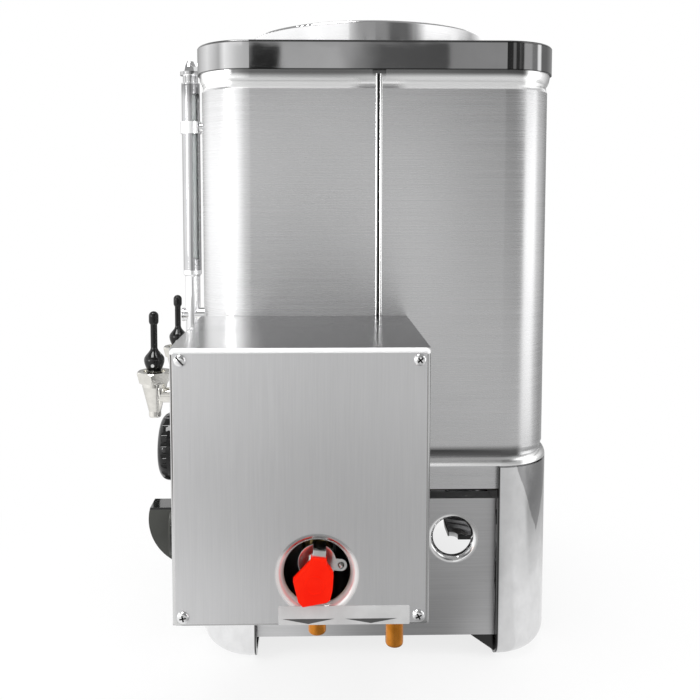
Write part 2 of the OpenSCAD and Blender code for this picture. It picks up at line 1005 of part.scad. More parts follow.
// Solid of the box with its edges rounded where the cover lies
module soft_box(inner) {
    e = box_edge;
    translate([back_x, box_y0, box_z])
        cube([inner - e - back_x, box_w, box_h]);
    translate([back_x, box_y0 + e, box_z + e])
        cube([inner - back_x, box_w - 2 * e, box_h - 2 * e]);
    for (z = [box_z + e, box_top - e])
        translate([inner - e, 0, z])
            along_y(box_y0 + e, box_y1 - e, e);
    for (y = [box_y0 + e, box_y1 - e]) {
        translate([inner - e, y, box_z + e])
            cylinder(r = e, h = box_h - 2 * e);
        for (z = [box_z + e, box_top - e])
            translate([inner - e, y, z])
                sphere(e);
    }
}

module cover_holes(r) {
    for (y = [box_y0 + screw_in, box_y1 - screw_in], z = [box_z + screw_in, box_top - screw_in])
        translate([0, y, z])
            along_x(face_x - 6, face_x + 6, r);
}

module box_cover() {
    e = box_edge - 0.5;
    w = box_w - 2 * e;
    h = box_h - 2 * e;
    corner = 6;
    color(steel) placed() {
        difference() {
            translate([face_x - sheet, box_y0 + e, box_z + e])
                rotate([90, 0, 90])
                    linear_extrude(sheet) {
                        translate([corner, 0])
                            square([w - 2 * corner, h]);
                        translate([0, corner])
                            square([w, h - corner]);
                        for (y = [corner, w - corner])
                            translate([y, corner])
                                circle(corner);
                    }
            cover_holes(screw_r + hole_fit);
            translate([0, gas_y, port_z])
                along_x(face_x - 6, face_x + 6, port_hole_r + port_lip);
        }
        translate([face_x, gas_y, port_z])
            drawn_lip(port_hole_r, port_lip);
    }
}

module cover_screws() {
    dome = 2.6;
    r = (screw_head * screw_head + dome * dome) / (2 * dome);
    color(bright) placed()
        for (y = [box_y0 + screw_in, box_y1 - screw_in], z = [box_z + screw_in, box_top - screw_in])
            translate([face_x, y, z])
                rotate([0, 90, 0]) {
                    rotate_extrude()
                        intersection() {
                            translate([0, dome - r])
                                circle(r);
                            square([screw_head, dome]);
                        }
                    translate([0, 0, -10])
                        cylinder(r = screw_r, h = 10);
                }
}

module gas_control() {
    low = gas_knob_z - ctrl_w / 3;
    high = dial_z + ctrl_w / 2;
    port_y = ctrl_back + feed_r;
    color(cast) placed()
        difference() {
            union() {
                translate([ctrl_x - ctrl_w / 2, ctrl_front, low])
                    cube([ctrl_w, ctrl_d, high - low]);
                translate([ctrl_x, 0, dial_z])
                    along_y(ctrl_back - 1, port_y, ctrl_w / 3);
                translate([feed_start, 0, feed_top])
                    along_y(ctrl_back - 1, port_y + feed_r, feed_r + 4);
            }
            translate([ctrl_x, 0, dial_z])
                along_y(ctrl_front - 1, ctrl_front + 26, shaft_r + run);
            translate([ctrl_x, 0, gas_knob_z])
                along_y(ctrl_front - 1, ctrl_front + 36, shaft_r + run);
            translate([feed_start, 0, feed_top])
                along_y(ctrl_back, ctrl_back + 20, feed_r + run);
        }
}

module thermostat_probe() {
    end = ctrl_x - ctrl_w / 2;
    color(copper) placed()
        translate([0, probe_y, dial_z]) {
            along_x(20, end, shaft_r);
            along_x(20, 110, shaft_r + 1.5);
            along_x(end - 14, end, 2 * shaft_r);
        }
}

module thermostat_dial() {
    back = 2.5;
    soft = dial_d - 3;
    color(black) placed()
        translate([ctrl_x, box_y0 - back, dial_z])
            rotate([90, 0, 0]) {
                difference() {
                    rotate_extrude()
                        intersection() {
                            union() {
                                square([dial_r, 3]);
                                square([dial_r - soft, dial_d]);
                                translate([dial_r - soft, 3])
                                    circle(soft);
                            }
                            square([dial_r, dial_d]);
                        }
                    for (i = [0:flutes - 1])
                        rotate([0, 0, 360 / flutes * i])
                            translate([dial_r + 1.2, 0, 3])
                                cylinder(r = 3, h = dial_d);
                }
                translate([0, 0, -back - 22])
                    cylinder(r = shaft_r, h = back + 23);
            }
}

// Bar knob: flat upper end and a front that falls away to the panel
module gas_knob() {
    back = push + 0.5;
    flat = 11;
    r = (gas_knob_d * gas_knob_d + pow(2 * gas_knob_l - flat, 2)) / (2 * gas_knob_d);
    color(black) placed()
        translate([ctrl_x, box_y0 - back, gas_knob_z]) {
            difference() {
                union() {
                    translate([-gas_knob_w / 2, 0, 0])
                        rotate([90, 0, 90])
                            linear_extrude(gas_knob_w)
                                intersection() {
                                    translate([r - gas_knob_d, gas_knob_l - flat])
                                        circle(r);
                                    translate([-gas_knob_d, -gas_knob_l])
                                        square([gas_knob_d, 2 * gas_knob_l]);
                                }
                    along_y(-2, 0, gas_knob_l - 1);
                }
                along_y(-12, 1, shaft_r + run);
            }
        }
}

module gas_knob_shaft() {
    back = push + 0.5;
    color(bright) placed()
        translate([ctrl_x, 0, gas_knob_z])
            along_y(box_y0 - back - 11.5, ctrl_front + 30, shaft_r);
}

// Gas line and its shut-off valve

module inlet(y, low, high) {
    soft = 3;
    translate([line_x, y, 0])
        difference() {
            union() {
                rotate_extrude()
                    difference() {
                        union() {
                            translate([0, low + soft])
                                square([tube_r, high - low - soft]);
                            translate([0, low])
                                square([tube_r - soft, soft + 1]);
                            translate([tube_r - soft, low + soft])
                                circle(soft);
                        }
                        translate([-tube_r, low - 1])
                            square([tube_r, high]);
                    }
                translate([0, 0, box_z - 4])
                    cylinder(r = tube_r + 2.5, h = 4);
            }
            translate([0, 0, low - 1])
                cylinder(r = tube_r - tube_wall - 1, h = high - low + 2);
        }
}

module gas_inlet_tube() {
    color(copper) placed()
        inlet(gas_y, gas_end, valve_z - valve_port);
}

module gas_valve_body() {
    nut_h = 14;
    end = valve_port + 8;
    color(brass) placed()
        translate([line_x, gas_y, valve_z])
            difference() {
                union() {
                    for (z = [-end, end - nut_h])
                        translate([0, 0, z])
                            hex(valve_af, nut_h);
                    translate([0, 0, nut_h - end - 2])
                        cylinder(r = valve_af / 2 + 1.5, h = 2 * (end - nut_h + 2));
                    along_x(0, 24, 2 * valve_stem_r);
                }
                translate([0, 0, -end - 1])
                    cylinder(r = tube_r + run, h = end + 1 - valve_port);
                translate([0, 0, valve_port])
                    cylinder(r = feed_r + 1 + run, h = end + 1 - valve_port);
                translate([0, 0, -end - 1])
                    cylinder(r = feed_r, h = 2 * end + 2);
                along_x(7, 25, valve_stem_r + run);
            }
}

module gas_valve_stem() {
    color(brass) placed()
        translate([line_x + 7.5, gas_y, valve_z])
            along_x(0, inlet_in - 9.5, valve_stem_r);
}

module leaned() {
    translate([0, gas_y, valve_z])
        rotate([-handle_lean, 0, 0])
            children();
}

// Stamped handle: disc on the stem, lock ear, shelf and strip that reaches through the cover
module valve_handle() {
    plate_x = line_x + 24.5;
    strip_x = (grip_back + grip_front - strip_t) / 2;
    shelf_z = disc_r + 0.5;
    ear_y = disc_r + 4.2;
    color(bright) placed()
        leaned()
            difference() {
                union() {
                    along_x(plate_x, plate_x + strip_t, disc_r);
                    translate([0, ear_y, 0])
                        along_x(plate_x, plate_x + strip_t, ear_r);
                    translate([plate_x, 6, -ear_r])
                        cube([strip_t, ear_y - 6, 2 * ear_r]);
                    translate([plate_x, -strip_w / 2, 0])
                        cube([strip_t, strip_w, shelf_z + strip_t]);
                    translate([plate_x, -strip_w / 2, shelf_z])
                        cube([strip_x + strip_t - plate_x, strip_w, strip_t]);
                    translate([strip_x, -strip_w / 2, -22])
                        cube([strip_t, strip_w, shelf_z + strip_t + 22]);
                }
                translate([0, ear_y, 0])
                    along_x(plate_x - 1, plate_x + strip_t + 1, ear_hole);
                along_x(plate_x - 1, plate_x + strip_t + 1, valve_stem_r);
            }
}

module grip_outline() {
    top = 13;
    low = top - grip_l;
    neck = strip_w / 2 + 1;
    polygon([[-neck, top], [-neck, top - 4], [-grip_w * 0.57, low + 20], [-grip_w * 0.38, low + 3],
        [-grip_w * 0.25, low - 1], [grip_w * 0.32, low + 5], [grip_w * 0.4, low + 7.5],
        [grip_w * 0.43, low + 16], [grip_w * 0.41, top - 12], [neck + 2, top - 6],
        [neck, top - 3], [neck, top]]);
}

module handle_grip() {
    strip_x = (grip_back + grip_front - strip_t) / 2;
    color(red) placed()
        leaned()
            difference() {
                translate([grip_back, 0, 0])
                    rotate([90, 0, 90])
                        linear_extrude(grip_t)
                            grip_outline();
                translate([strip_x, -strip_w / 2, -22])
                    cube([strip_t, strip_w, 60]);
            }
}

module valve_nut() {
    plate_x = line_x + 24.5;
    color(bright) placed()
        translate([plate_x + strip_t, gas_y, valve_z])
            rotate([0, 90, 0])
                difference() {
                    hex(14, 4.5);
                    translate([0, 0, -1])
                        cylinder(r = valve_stem_r, h = 7);
                }
}

module gas_link_tube() {
    z1 = feed_top - 25;
    color(copper) placed()
        bent_rod([
            [line_x, gas_y, valve_z + valve_port],
            [line_x, gas_y, z1],
            [line_x, ctrl_back, z1]], feed_r + 1, 12);
}

module water_inlet_tube() {
    color(copper) placed() {
        inlet(water_y, water_end, water_join);
        difference() {
            water_path(tube_r, water_join, th - 12);
            water_path(tube_r - tube_wall - 1, water_join - 1, th - 13);
        }
    }
}

module water_path(r, z0, x1) {
    bent_rod([
        [line_x, water_y, z0],
        [line_x, water_y, water_z],
        [x1, water_y, water_z]], r, 20);
}

module water_union() {
    color(brass) placed()
        translate([back_x + sheet, water_y, water_z])
            rotate([0, 90, 0])
                difference() {
                    union() {
                        hex(2 * union_r, 12);
                        cylinder(r = union_r - 1, h = 22);
                    }
                    translate([0, 0, -1])
                        cylinder(r = tube_r, h = 30);
                }
}

// Taps, written about the tap's own axis and placed left and right

module at_tap(s) {
    placed()
        translate([s * tap_x, tap_y, 0])
            children();
}

module tap_body() {
    flange = tap_out - 2;
    difference() {
        union() {
            rotate_extrude()
                polygon([[0, spout_z], [spout_r - 0.6, spout_z], [spout_r, spout_z + 1.5],
                    [spout_r, spout_z + 7], [tap_body_r, tap_top - 3], [tap_body_r, tap_top],
                    [0, tap_top]]);
            translate([0, 0, shank_z])
                along_y(0, tap_out + shank_in, shank_r);
            translate([0, 0, shank_z])
                along_y(flange - 5, flange, shank_r + 6);
        }
        rotate_extrude()
            polygon([[0, seat_z], [seat_r + 0.6, seat_z], [neck_r, tap_top - 12],
                [neck_r, tap_top + 1], [0, tap_top + 1]]);
        translate([0, 0, spout_z - 1])
            cylinder(r = spout_bore, h = seat_z - spout_z + 2);
        translate([0, 0, shank_z])
            along_y(0, tap_out + shank_in + 1, spout_bore);
    }
}

// Hexagon bonnet: a cup round the seat that the lever's heel rolls on
module tap_bonnet() {
    wide = bonnet_af / 2 / cos(30);
    hex_h = bonnet_top - 0.5 - bonnet_z;
    difference() {
        union() {
            translate([0, 0, tap_top - 6])
                cylinder(r = neck_r - run, h = 8);
            translate([0, 0, tap_top])
                cylinder(r = tap_body_r + 1, h = 1.5);
            difference() {
                intersection() {
                    translate([0, 0, bonnet_z])
                        hex_taper(bonnet_af - bonnet_taper, bonnet_af, hex_h);
                    translate([0, 0, bonnet_z])
                        cylinder(r1 = wide + 12, r2 = bonnet_af / 2 + 0.4, h = hex_h);
                }
                translate([0, 0, bonnet_top - 4])
                    cylinder(r = cup_r, h = 5);
            }
            translate([0, 0, bonnet_top - 5])
                cylinder(r = heel_r + 1, h = 5);
        }
        translate([0, 0, tap_top - 10])
            cylinder(r = stem_r + run, h = 40);
    }
}

// Stem that ends in a flat tang, drilled for the lever's pin
module tap_stem() {
    top = pin_z + 4;
    tang_z = bonnet_top - 3.5;
    difference() {
        translate([0, 0, seat_z + 3])
            cylinder(r = stem_r, h = top - seat_z - 3);
        for (x = [tang_t / 2, -tang_t / 2 - stem_r])
            translate([x, -stem_r, tang_z])
                cube([stem_r, 2 * stem_r, top - tang_z + 1]);
        translate([0, 0, pin_z])
            along_x(-stem_r - 1, stem_r + 1, pin_r);
    }
}

module tap_seat() {
    difference() {
        translate([0, 0, seat_z])
            rotate_extrude()
                polygon([[0, 0], [seat_r - 0.3, 0], [seat_r, 0.4], [seat_r, 4], [stem_r + 1, 10], [0, 10]]);
        translate([0, 0, seat_z + 3])
            cylinder(r = stem_r, h = 10);
    }
}

// Turned lever: heel, flare, neck and rounded tip, forked over the stem's tang
module tap_lever() {
    tip = lever_l - tip_r;
    fork = heel_r + 1;
    swell = [for (k = [0:6]) [heel_r + (flare_r - heel_r) * sin(15 * k), flare_up * k / 6]];
    fall = [for (k = [1:10])
        [lever_neck + (flare_r - lever_neck) * (1 + cos(18 * k)) / 2, flare_up + flare_fall * k / 10]];
    translate([0, 0, lever_z])
        difference() {
            rotate_extrude() {
                polygon(concat([[0, 0]], swell, fall, [[lever_neck, tip], [0, tip]]));
                translate([0, lever_l - tip_l + tip_r])
                    square([tip_r, tip_l - 2 * tip_r]);
                for (z = [lever_l - tip_l + tip_r, tip])
                    translate([0, z])
                        intersection() {
                            circle(tip_r);
                            translate([0, -tip_r])
                                square([tip_r, 2 * tip_r]);
                        }
            }
            translate([-tang_t / 2 - 0.3, -fork, -1])
                cube([tang_t + 0.6, 2 * fork, pin_z + 6 - lever_z + 1]);
            translate([0, 0, pin_z - lever_z])
                along_x(-flare_r - 2, flare_r + 2, pin_r + run);
        }
}

module tap_pin() {
    half = flare_r - 0.9;
    translate([0, 0, pin_z])
        along_x(-half, half, pin_r);
}

module tap_body_right() {
    color(nickel) at_tap(1)
        tap_body();
}

module tap_bonnet_right() {
    color(nickel) at_tap(1)
        tap_bonnet();
}

module tap_stem_right() {
    color(bright) at_tap(1)
        tap_stem();
}

module tap_seat_right() {
    color(rubber) at_tap(1)
        tap_seat();
}

module tap_lever_right() {
    color(black) at_tap(1)
        tap_lever();
}

module tap_pin_right() {
    color(bright) at_tap(1)
        tap_pin();
}

module tap_body_left() {
    color(nickel) at_tap(-1)
        tap_body();
}

module tap_bonnet_left() {
    color(nickel) at_tap(-1)
        tap_bonnet();
}

module tap_stem_left() {
    color(bright) at_tap(-1)
        tap_stem();
}

module tap_seat_left() {
    color(rubber) at_tap(-1)
        tap_seat();
}

module tap_lever_left() {
    color(black) at_tap(-1)
        tap_lever();
}

module tap_pin_left() {
    color(bright) at_tap(-1)
        tap_pin();
}

// Nuts inside the tank on the shanks of both taps and of the gauge
module tap_lock_nuts() {
    color(brass) placed()
        for (p = [[-tap_x, shank_z], [tap_x, shank_z], [0, gauge_shank_z]])
            translate([p[0], -th + sheet, p[1]])
                rotate([-90, 0, 0])
                    difference() {
                        hex(28, 6);
                        translate([0, 0, -1])
                            cylinder(r = shank_r, h = 8);
                    }
}

module tap_gaskets() {
    color(rubber) placed()
        for (p = [[-tap_x, shank_z], [tap_x, shank_z], [0, gauge_shank_z]])
            translate([p[0], -th - 2, p[1]])
                rotate([-90, 0, 0])
                    difference() {
                        cylinder(r = shank_r + 5, h = 2);
                        translate([0, 0, -1])
                            cylinder(r = shank_r, h = 4);
                    }
}

// Gauge

module gauge_base() {
    low = gauge_shank_z - gauge_foot;
    color(nickel) placed()
        difference() {
            union() {
                translate([0, gauge_y, low])
                    rotate_extrude()
                        polygon([[0, 0], [8, 0], [9.3, 2], [9.3, guard_z - 8 - low],
                            [guard_r, guard_z - 5 - low], [guard_r, guard_z - low],
                            [0, guard_z - low]]);
                translate([0, 0, gauge_shank_z])
                    along_y(gauge_y, -liner_r + 4, shank_r);
                translate([0, 0, gauge_shank_z])
                    along_y(-th - 7, -th - 2, shank_r + 6);
                translate([0, 0, gauge_shank_z])
                    along_y(gauge_y - 11, gauge_y, 8);
            }
            translate([0, gauge_y, gauge_shank_z + 25])
                cylinder(r = glass_r + run, h = 200);
            translate([0, gauge_y, gauge_shank_z])
                cylinder(r = 5, h = 200);
            translate([0, 0, gauge_shank_z])
                along_y(gauge_y - 12, -liner_r + 5, 5);
        }
}

module gauge_plug() {
    color(nickel) placed()
        translate([0, 0, gauge_shank_z]) {
            along_y(gauge_y - 14, gauge_y - 11, 8.6);
            along_y(gauge_y - 11, gauge_y - 6, 5);
        }
}

module gauge_glass() {
    low = gauge_shank_z + 25;
    color(clear) placed()
        translate([0, gauge_y, low])
            difference() {
                cylinder(r = glass_r, h = guard_top + 6 - low);
                translate([0, 0, -1])
                    cylinder(r = glass_r - 1.4, h = guard_top + 8 - low);
            }
}

module gauge_guard() {
    color(bright) placed()
        translate([0, gauge_y, 0])
            difference() {
                translate([0, 0, guard_z])
                    cylinder(r = guard_r, h = guard_top - guard_z);
                translate([0, 0, guard_z - 1])
                    cylinder(r = guard_r - sheet, h = guard_top - guard_z + 2);
                rotate([0, 0, slot_turn])
                    sight_slots(guard_z + 18, guard_top - 16);
            }
}

module sight_slots(z0, z1) {
    translate([-guard_r - 1, -slot_w / 2, z0])
        cube([2 * guard_r + 2, slot_w, z1 - z0]);
    for (z = [z0, z1])
        translate([0, 0, z])
            along_x(-guard_r - 1, guard_r + 1, slot_w / 2);
}

module gauge_cap() {
    color(bright) placed()
        translate([0, gauge_y, guard_top])
            difference() {
                union() {
                    cylinder(r = guard_r, h = 1.5);
                    cylinder(r = 9.4, h = 12);
                    translate([0, 0, 11])
                        cylinder(r = 12.6, h = 4.5);
                    translate([0, 0, 15])
                        rotate([0, 0, 30])
                            hex_taper(20.6, 17.4, 6.5);
                    translate([0, 0, 21])
                        cylinder(r1 = 8.6, r2 = 4.5, h = 7.5);
                }
                translate([0, 0, -1])
                    cylinder(r = glass_r + run, h = 7);
                translate([0, 0, -1])
                    cylinder(r = 5.5, h = 16);
            }
}

// Clip round the guard with a studded foot screwed to the tank
module gauge_clip() {
    stud_r = 2.5;
    color(bright) placed()
        translate([0, gauge_y, clip_z]) {
            difference() {
                union() {
                    translate([0, 0, -clip_h / 2])
                        cylinder(r = guard_r + 1.6, h = clip_h);
                    along_y(guard_r, gauge_out + 10, stud_r);
                    along_y(guard_r - 1, guard_r + 4, clip_h * 0.43);
                    translate([0, guard_r + 3, 0])
                        rotate([-90, 0, 0])
                            hex(clip_h * 0.7, 6);
                }
                translate([0, 0, -clip_h])
                    cylinder(r = guard_r, h = 2 * clip_h);
            }
            translate([0, gauge_out + sheet, 0])
                rotate([-90, 0, 0])
                    difference() {
                        hex(9, 4);
                        translate([0, 0, -1])
                            cylinder(r = stud_r - 0.1, h = 6);
                    }
        }
}

tank_shell();
tank_floor();
seam_strips();
top_cover();
brew_collar();
coffee_liner();
liner_outlet();
filter_basket();
lid();
lid_knob();
base_band();
foot_front_right();
foot_rear_right();
foot_rear_left();
foot_front_left();
skirt_front();
skirt_right();
skirt_rear();
skirt_left();
burner();
burner_bracket();
gas_feed_pipe();
box_shell();
box_cover();
cover_screws();
gas_control();
thermostat_probe();
thermostat_dial();
gas_knob();
gas_knob_shaft();
gas_inlet_tube();
gas_valve_body();
gas_valve_stem();
valve_handle();
handle_grip();
valve_nut();
gas_link_tube();
water_inlet_tube();
water_union();
tap_body_right();
tap_bonnet_right();
tap_stem_right();
tap_seat_right();
tap_lever_right();
tap_pin_right();
tap_body_left();
tap_bonnet_left();
tap_stem_left();
tap_seat_left();
tap_lever_left();
tap_pin_left();
tap_lock_nuts();
tap_gaskets();
gauge_base();
gauge_plug();
gauge_glass();
gauge_guard();
gauge_cap();
gauge_clip();
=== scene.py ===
"""Gas coffee urn: finishes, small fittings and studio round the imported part. Metres, +Z up."""
import json
import math

import bmesh
import bpy
from mathutils import Matrix, Vector


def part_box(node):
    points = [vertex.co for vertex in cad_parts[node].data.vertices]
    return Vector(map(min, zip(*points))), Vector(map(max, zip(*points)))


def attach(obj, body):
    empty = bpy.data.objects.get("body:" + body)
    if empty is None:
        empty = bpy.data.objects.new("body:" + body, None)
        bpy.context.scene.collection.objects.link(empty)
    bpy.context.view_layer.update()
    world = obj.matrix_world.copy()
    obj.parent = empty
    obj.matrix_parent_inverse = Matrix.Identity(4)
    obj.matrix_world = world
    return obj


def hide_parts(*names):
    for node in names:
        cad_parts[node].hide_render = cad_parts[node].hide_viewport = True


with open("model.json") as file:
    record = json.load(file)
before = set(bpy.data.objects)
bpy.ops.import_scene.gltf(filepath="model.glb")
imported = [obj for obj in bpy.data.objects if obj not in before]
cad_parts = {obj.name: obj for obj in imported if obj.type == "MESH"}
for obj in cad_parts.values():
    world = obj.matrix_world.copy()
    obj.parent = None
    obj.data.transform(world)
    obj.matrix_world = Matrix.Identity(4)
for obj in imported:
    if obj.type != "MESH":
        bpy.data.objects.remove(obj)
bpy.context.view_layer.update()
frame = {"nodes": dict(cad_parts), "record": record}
nodes = frame["nodes"]
scene = bpy.context.scene
scene.view_settings.view_transform = "Standard"

MM = 0.001
TANK_LOW, TANK_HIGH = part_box("tank_shell")
AXIS_X = (TANK_LOW[0] + TANK_HIGH[0]) / 2
AXIS_Y = (TANK_LOW[1] + TANK_HIGH[1]) / 2
BODY_OF = {n: b for b, ns in frame["record"]["behaviour"]["bodies"].items() for n in ns}
SLOT_OF = {s["node"]: s["material_slot"] for s in frame["record"]["subparts"]}


def spot(x, y, z):
    """Point given in millimetres from the tank's axis and the ground."""
    return Vector((AXIS_X + x * MM, AXIS_Y + y * MM, z * MM))


def marks(base, *offsets):
    """Places at these millimetres from a base."""
    return [base + offset * MM for offset in offsets]


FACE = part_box("box_cover")[1][0]
PORT = spot(345, -64, 187.5)
AIR_HOLE = (0, 84 * MM, 133.5 * MM)
SEAM_Y = spot(0, 0.5, 0)[1]
BOX_LOW, BOX_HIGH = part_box("box_shell")
RIM_LOW, RIM_HIGH = (c[2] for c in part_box("top_cover"))
KNOB_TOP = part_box("gas_knob")[1][2]


# Camera: the photograph is taken from the control box's side, from a point lower than the lid

EYE_PLACE = spot(1061.38, -62.71, 501.24)
EYE_YAW, EYE_PITCH = math.radians(1.2), math.radians(4)
SENSOR_MM, FOCAL_MM = 36, 42.686
LENS_SHIFT = (0.0208, -0.1314)


def make_camera():
    lens = bpy.data.cameras.new("camera")
    lens.sensor_width = SENSOR_MM
    lens.lens = FOCAL_MM
    lens.shift_x, lens.shift_y = LENS_SHIFT
    lens.clip_start, lens.clip_end = 0.01, 50
    eye = bpy.data.objects.new("camera", lens)
    scene.collection.objects.link(eye)
    level = math.cos(EYE_PITCH)
    ahead = Vector((-math.cos(EYE_YAW) * level, math.sin(EYE_YAW) * level, -math.sin(EYE_PITCH)))
    right = Vector((math.sin(EYE_YAW), math.cos(EYE_YAW), 0))
    turn = Matrix((right, right.cross(ahead), -ahead)).transposed()
    eye.matrix_world = Matrix.Translation(EYE_PLACE) @ turn.to_4x4()
    scene.camera = eye


make_camera()


# Finishes: short calls that lay out node trees

USUAL_NOISE = (0.3, 0.7)
MIDDLE_NOISE = (0.35, 0.65)


class Wiring:
    """A cleared node tree with short calls for the nodes used here."""

    def __init__(self, tree):
        self.tree = tree
        tree.nodes.clear()

    def add(self, kind, inputs=(), **props):
        """New node, with its inputs by number or label: each a value or another node's output."""
        node = self.tree.nodes.new(kind)
        for key, value in props.items():
            setattr(node, key, value)
        for key, value in dict(inputs).items():
            if isinstance(value, bpy.types.NodeSocket):
                self.tree.links.new(value, node.inputs[key])
            else:
                node.inputs[key].default_value = value
        return node

    def maths(self, kind, a, b=0.0, c=0.0):
        return self.add("ShaderNodeMath", {0: a, 1: b, 2: c}, operation=kind).outputs[0]

    def times(self, product, *others):
        for other in others:
            product = self.maths("MULTIPLY", product, other)
        return product

    def distance(self, a, b):
        """Length of the slant across two sides at right angles."""
        return self.maths("SQRT", self.maths("ADD", self.times(a, a), self.times(b, b)))

    def from_axis(self, x, y):
        """The same two places counted from the tank's axis."""
        return self.maths("SUBTRACT", x, AXIS_X), self.maths("SUBTRACT", y, AXIS_Y)

    def span(self, value, low, high, start=0.0, end=1.0):
        """Carries start..end over to low..high and holds the ends."""
        return self.add("ShaderNodeMapRange", {0: value, 1: start, 2: end, 3: low, 4: high}).outputs[0]

    def step(self, value, start, end):
        """Soft step from 0 at start to 1 at end."""
        inputs = {0: value, 1: start, 2: end}
        return self.add("ShaderNodeMapRange", inputs, interpolation_type="SMOOTHSTEP").outputs[0]

    def band(self, value, foot, low, high, head):
        """Soft band that rises from foot to low and falls from high to head."""
        return self.times(self.step(value, foot, low), self.step(value, head, high))

    def number(self, fac, a, b):
        return self.add("ShaderNodeMix", {0: fac, 2: a, 3: b}).outputs[0]

    def blend(self, fac, a, b, kind="MIX"):
        node = self.add("ShaderNodeMix", {0: fac}, data_type="RGBA", blend_type=kind)
        for k, c in ((6, a), (7, b)):
            if isinstance(c, bpy.types.NodeSocket):
                self.tree.links.new(c, node.inputs[k])
            else:
                node.inputs[k].default_value = (*c, 1)
        return node.outputs[2]

    def place(self):
        return self.add("ShaderNodeTexCoord").outputs["Object"]

    def axes(self, place):
        return self.add("ShaderNodeSeparateXYZ", {0: place}).outputs


class Finish(Wiring):
    """One material: a principled shader, its output and the noise that feeds it."""

    def __init__(self, name, **constants):
        self.mat = bpy.data.materials.new(name)
        self.mat.use_nodes = True
        super().__init__(self.mat.node_tree)
        self.shader = self.add("ShaderNodeBsdfPrincipled")
        self.add("ShaderNodeOutputMaterial", {0: self.shader.outputs[0]})
        for key, value in constants.items():
            self.socket(key).default_value = value
        self.at = self.place()
        self.x, self.y, self.z = self.axes(self.at)

    def socket(self, key):
        """Shader input whose label is written here in small letters."""
        return self.shader.inputs[key.replace("_", " ").title().replace("Ior", "IOR")]

    def feed(self, **sockets):
        for key, value in sockets.items():
            self.tree.links.new(value, self.socket(key))
        return self.mat

    def noise(self, scale, detail=3.0, rough=0.55):
        """Noise in object space: scale is per metre along each axis."""
        mapped = self.add("ShaderNodeMapping", {0: self.at, "Scale": scale}).outputs[0]
        return self.add("ShaderNodeTexNoise", {
            "Vector": mapped, "Scale": 1.0, "Detail": detail, "Roughness": rough}).outputs["Fac"]

    def brush(self, scale):
        """Noise drawn out into a brushed grain."""
        return self.noise(scale, detail=5, rough=0.7)

    def vary(self, noise, low, high, usual=USUAL_NOISE):
        """Carries the usual range of a noise over to low..high."""
        return self.span(noise, low, high, *usual)

    def mottle(self, noise, a, b, usual=MIDDLE_NOISE):
        """Two tints mingled by a noise."""
        return self.blend(self.vary(noise, 0, 1, usual), a, b)

    def grain(self, tint, fine, cloud, dark=0.90, pale=1.06, low=0.95):
        """Tint broken up by a fine grain and by slow clouds."""
        lines = self.mottle(fine, scaled(tint, dark), [min(c, 1) for c in scaled(tint, pale)], USUAL_NOISE)
        return self.blend(1.0, lines, self.mottle(cloud, grey(low), grey(1.0), USUAL_NOISE), "MULTIPLY")

    def satin(self, fine, cloud, rough, swing):
        """Roughness that follows a fine grain and, a little, slow clouds."""
        lines = self.vary(fine, rough - swing, rough + swing)
        return self.maths("ADD", lines, self.span(cloud, -0.02, 0.02))

    def bump(self, height, strength, distance, before=None):
        inputs = {"Height": height, "Strength": strength, "Distance": distance}
        if before is not None:
            inputs["Normal"] = before
        return self.add("ShaderNodeBump", inputs).outputs[0]

    def along_side(self):
        """Place along the nearest of the tank's four sides, from its middle; on the box side it is Y."""
        x, y = self.from_axis(self.x, self.y)
        faces_x = self.maths("GREATER_THAN", self.maths("ABSOLUTE", x), self.maths("ABSOLUTE", y))
        on_x = self.times(self.maths("SIGN", x), y)
        on_y = self.times(self.maths("SIGN", y), x, -1)
        return self.number(faces_x, on_y, on_x)

    def inward(self):
        """Distance from the axis along X or Y, the lesser one: small on the flats, large at the corners."""
        x, y = self.from_axis(self.x, self.y)
        return self.maths("MINIMUM", self.maths("ABSOLUTE", x), self.maths("ABSOLUTE", y))

    def off_seam(self):
        return self.maths("ABSOLUTE", self.maths("SUBTRACT", self.y, SEAM_Y))

    def radius(self, centre, along=None):
        """Distance from a line along X through a point, or from such a line on each of the tank's sides."""
        across = self.maths("SUBTRACT", self.y if along is None else along, centre[1])
        return self.distance(across, self.maths("SUBTRACT", self.z, centre[2]))


def scaled(tint, share):
    return [c * share for c in tint]


def grey(level):
    return (level, level, level)


def steel(level):
    """Grey with a trace of blue."""
    return (level, level, level + 0.005)


# White for painted highlights and near-black for painted shade and dark reflections
PAINTED_HIGHLIGHT, PAINTED_DARK = grey(0.95), grey(0.05)
TANK_GRAIN = (5, 5, 1100)
SHEET_CLOUD = (9, 9, 14)
HAIR_LINES = (40, 40, 900)
COVER_GRAIN_TONES = (0.96, 1.03, 0.97)
BOX_GRAIN_TONES = (0.88, 1.1, 0.9)
BRUSH_DEPTH, FINE_DEPTH, HAIR_DEPTH = 0.12 * MM, 0.10 * MM, 0.05 * MM


def inner_sheet(name, tint, rough):
    """Plain brushed sheet of the vessel's inside and base."""
    f = Finish(name, metallic=1.0)
    fine, cloud = f.brush(TANK_GRAIN), f.noise(SHEET_CLOUD)
    return f.feed(base_color=f.grain(tint, fine, cloud), roughness=f.satin(fine, cloud, rough, 0.06),
                  normal=f.bump(fine, 0.12, BRUSH_DEPTH))


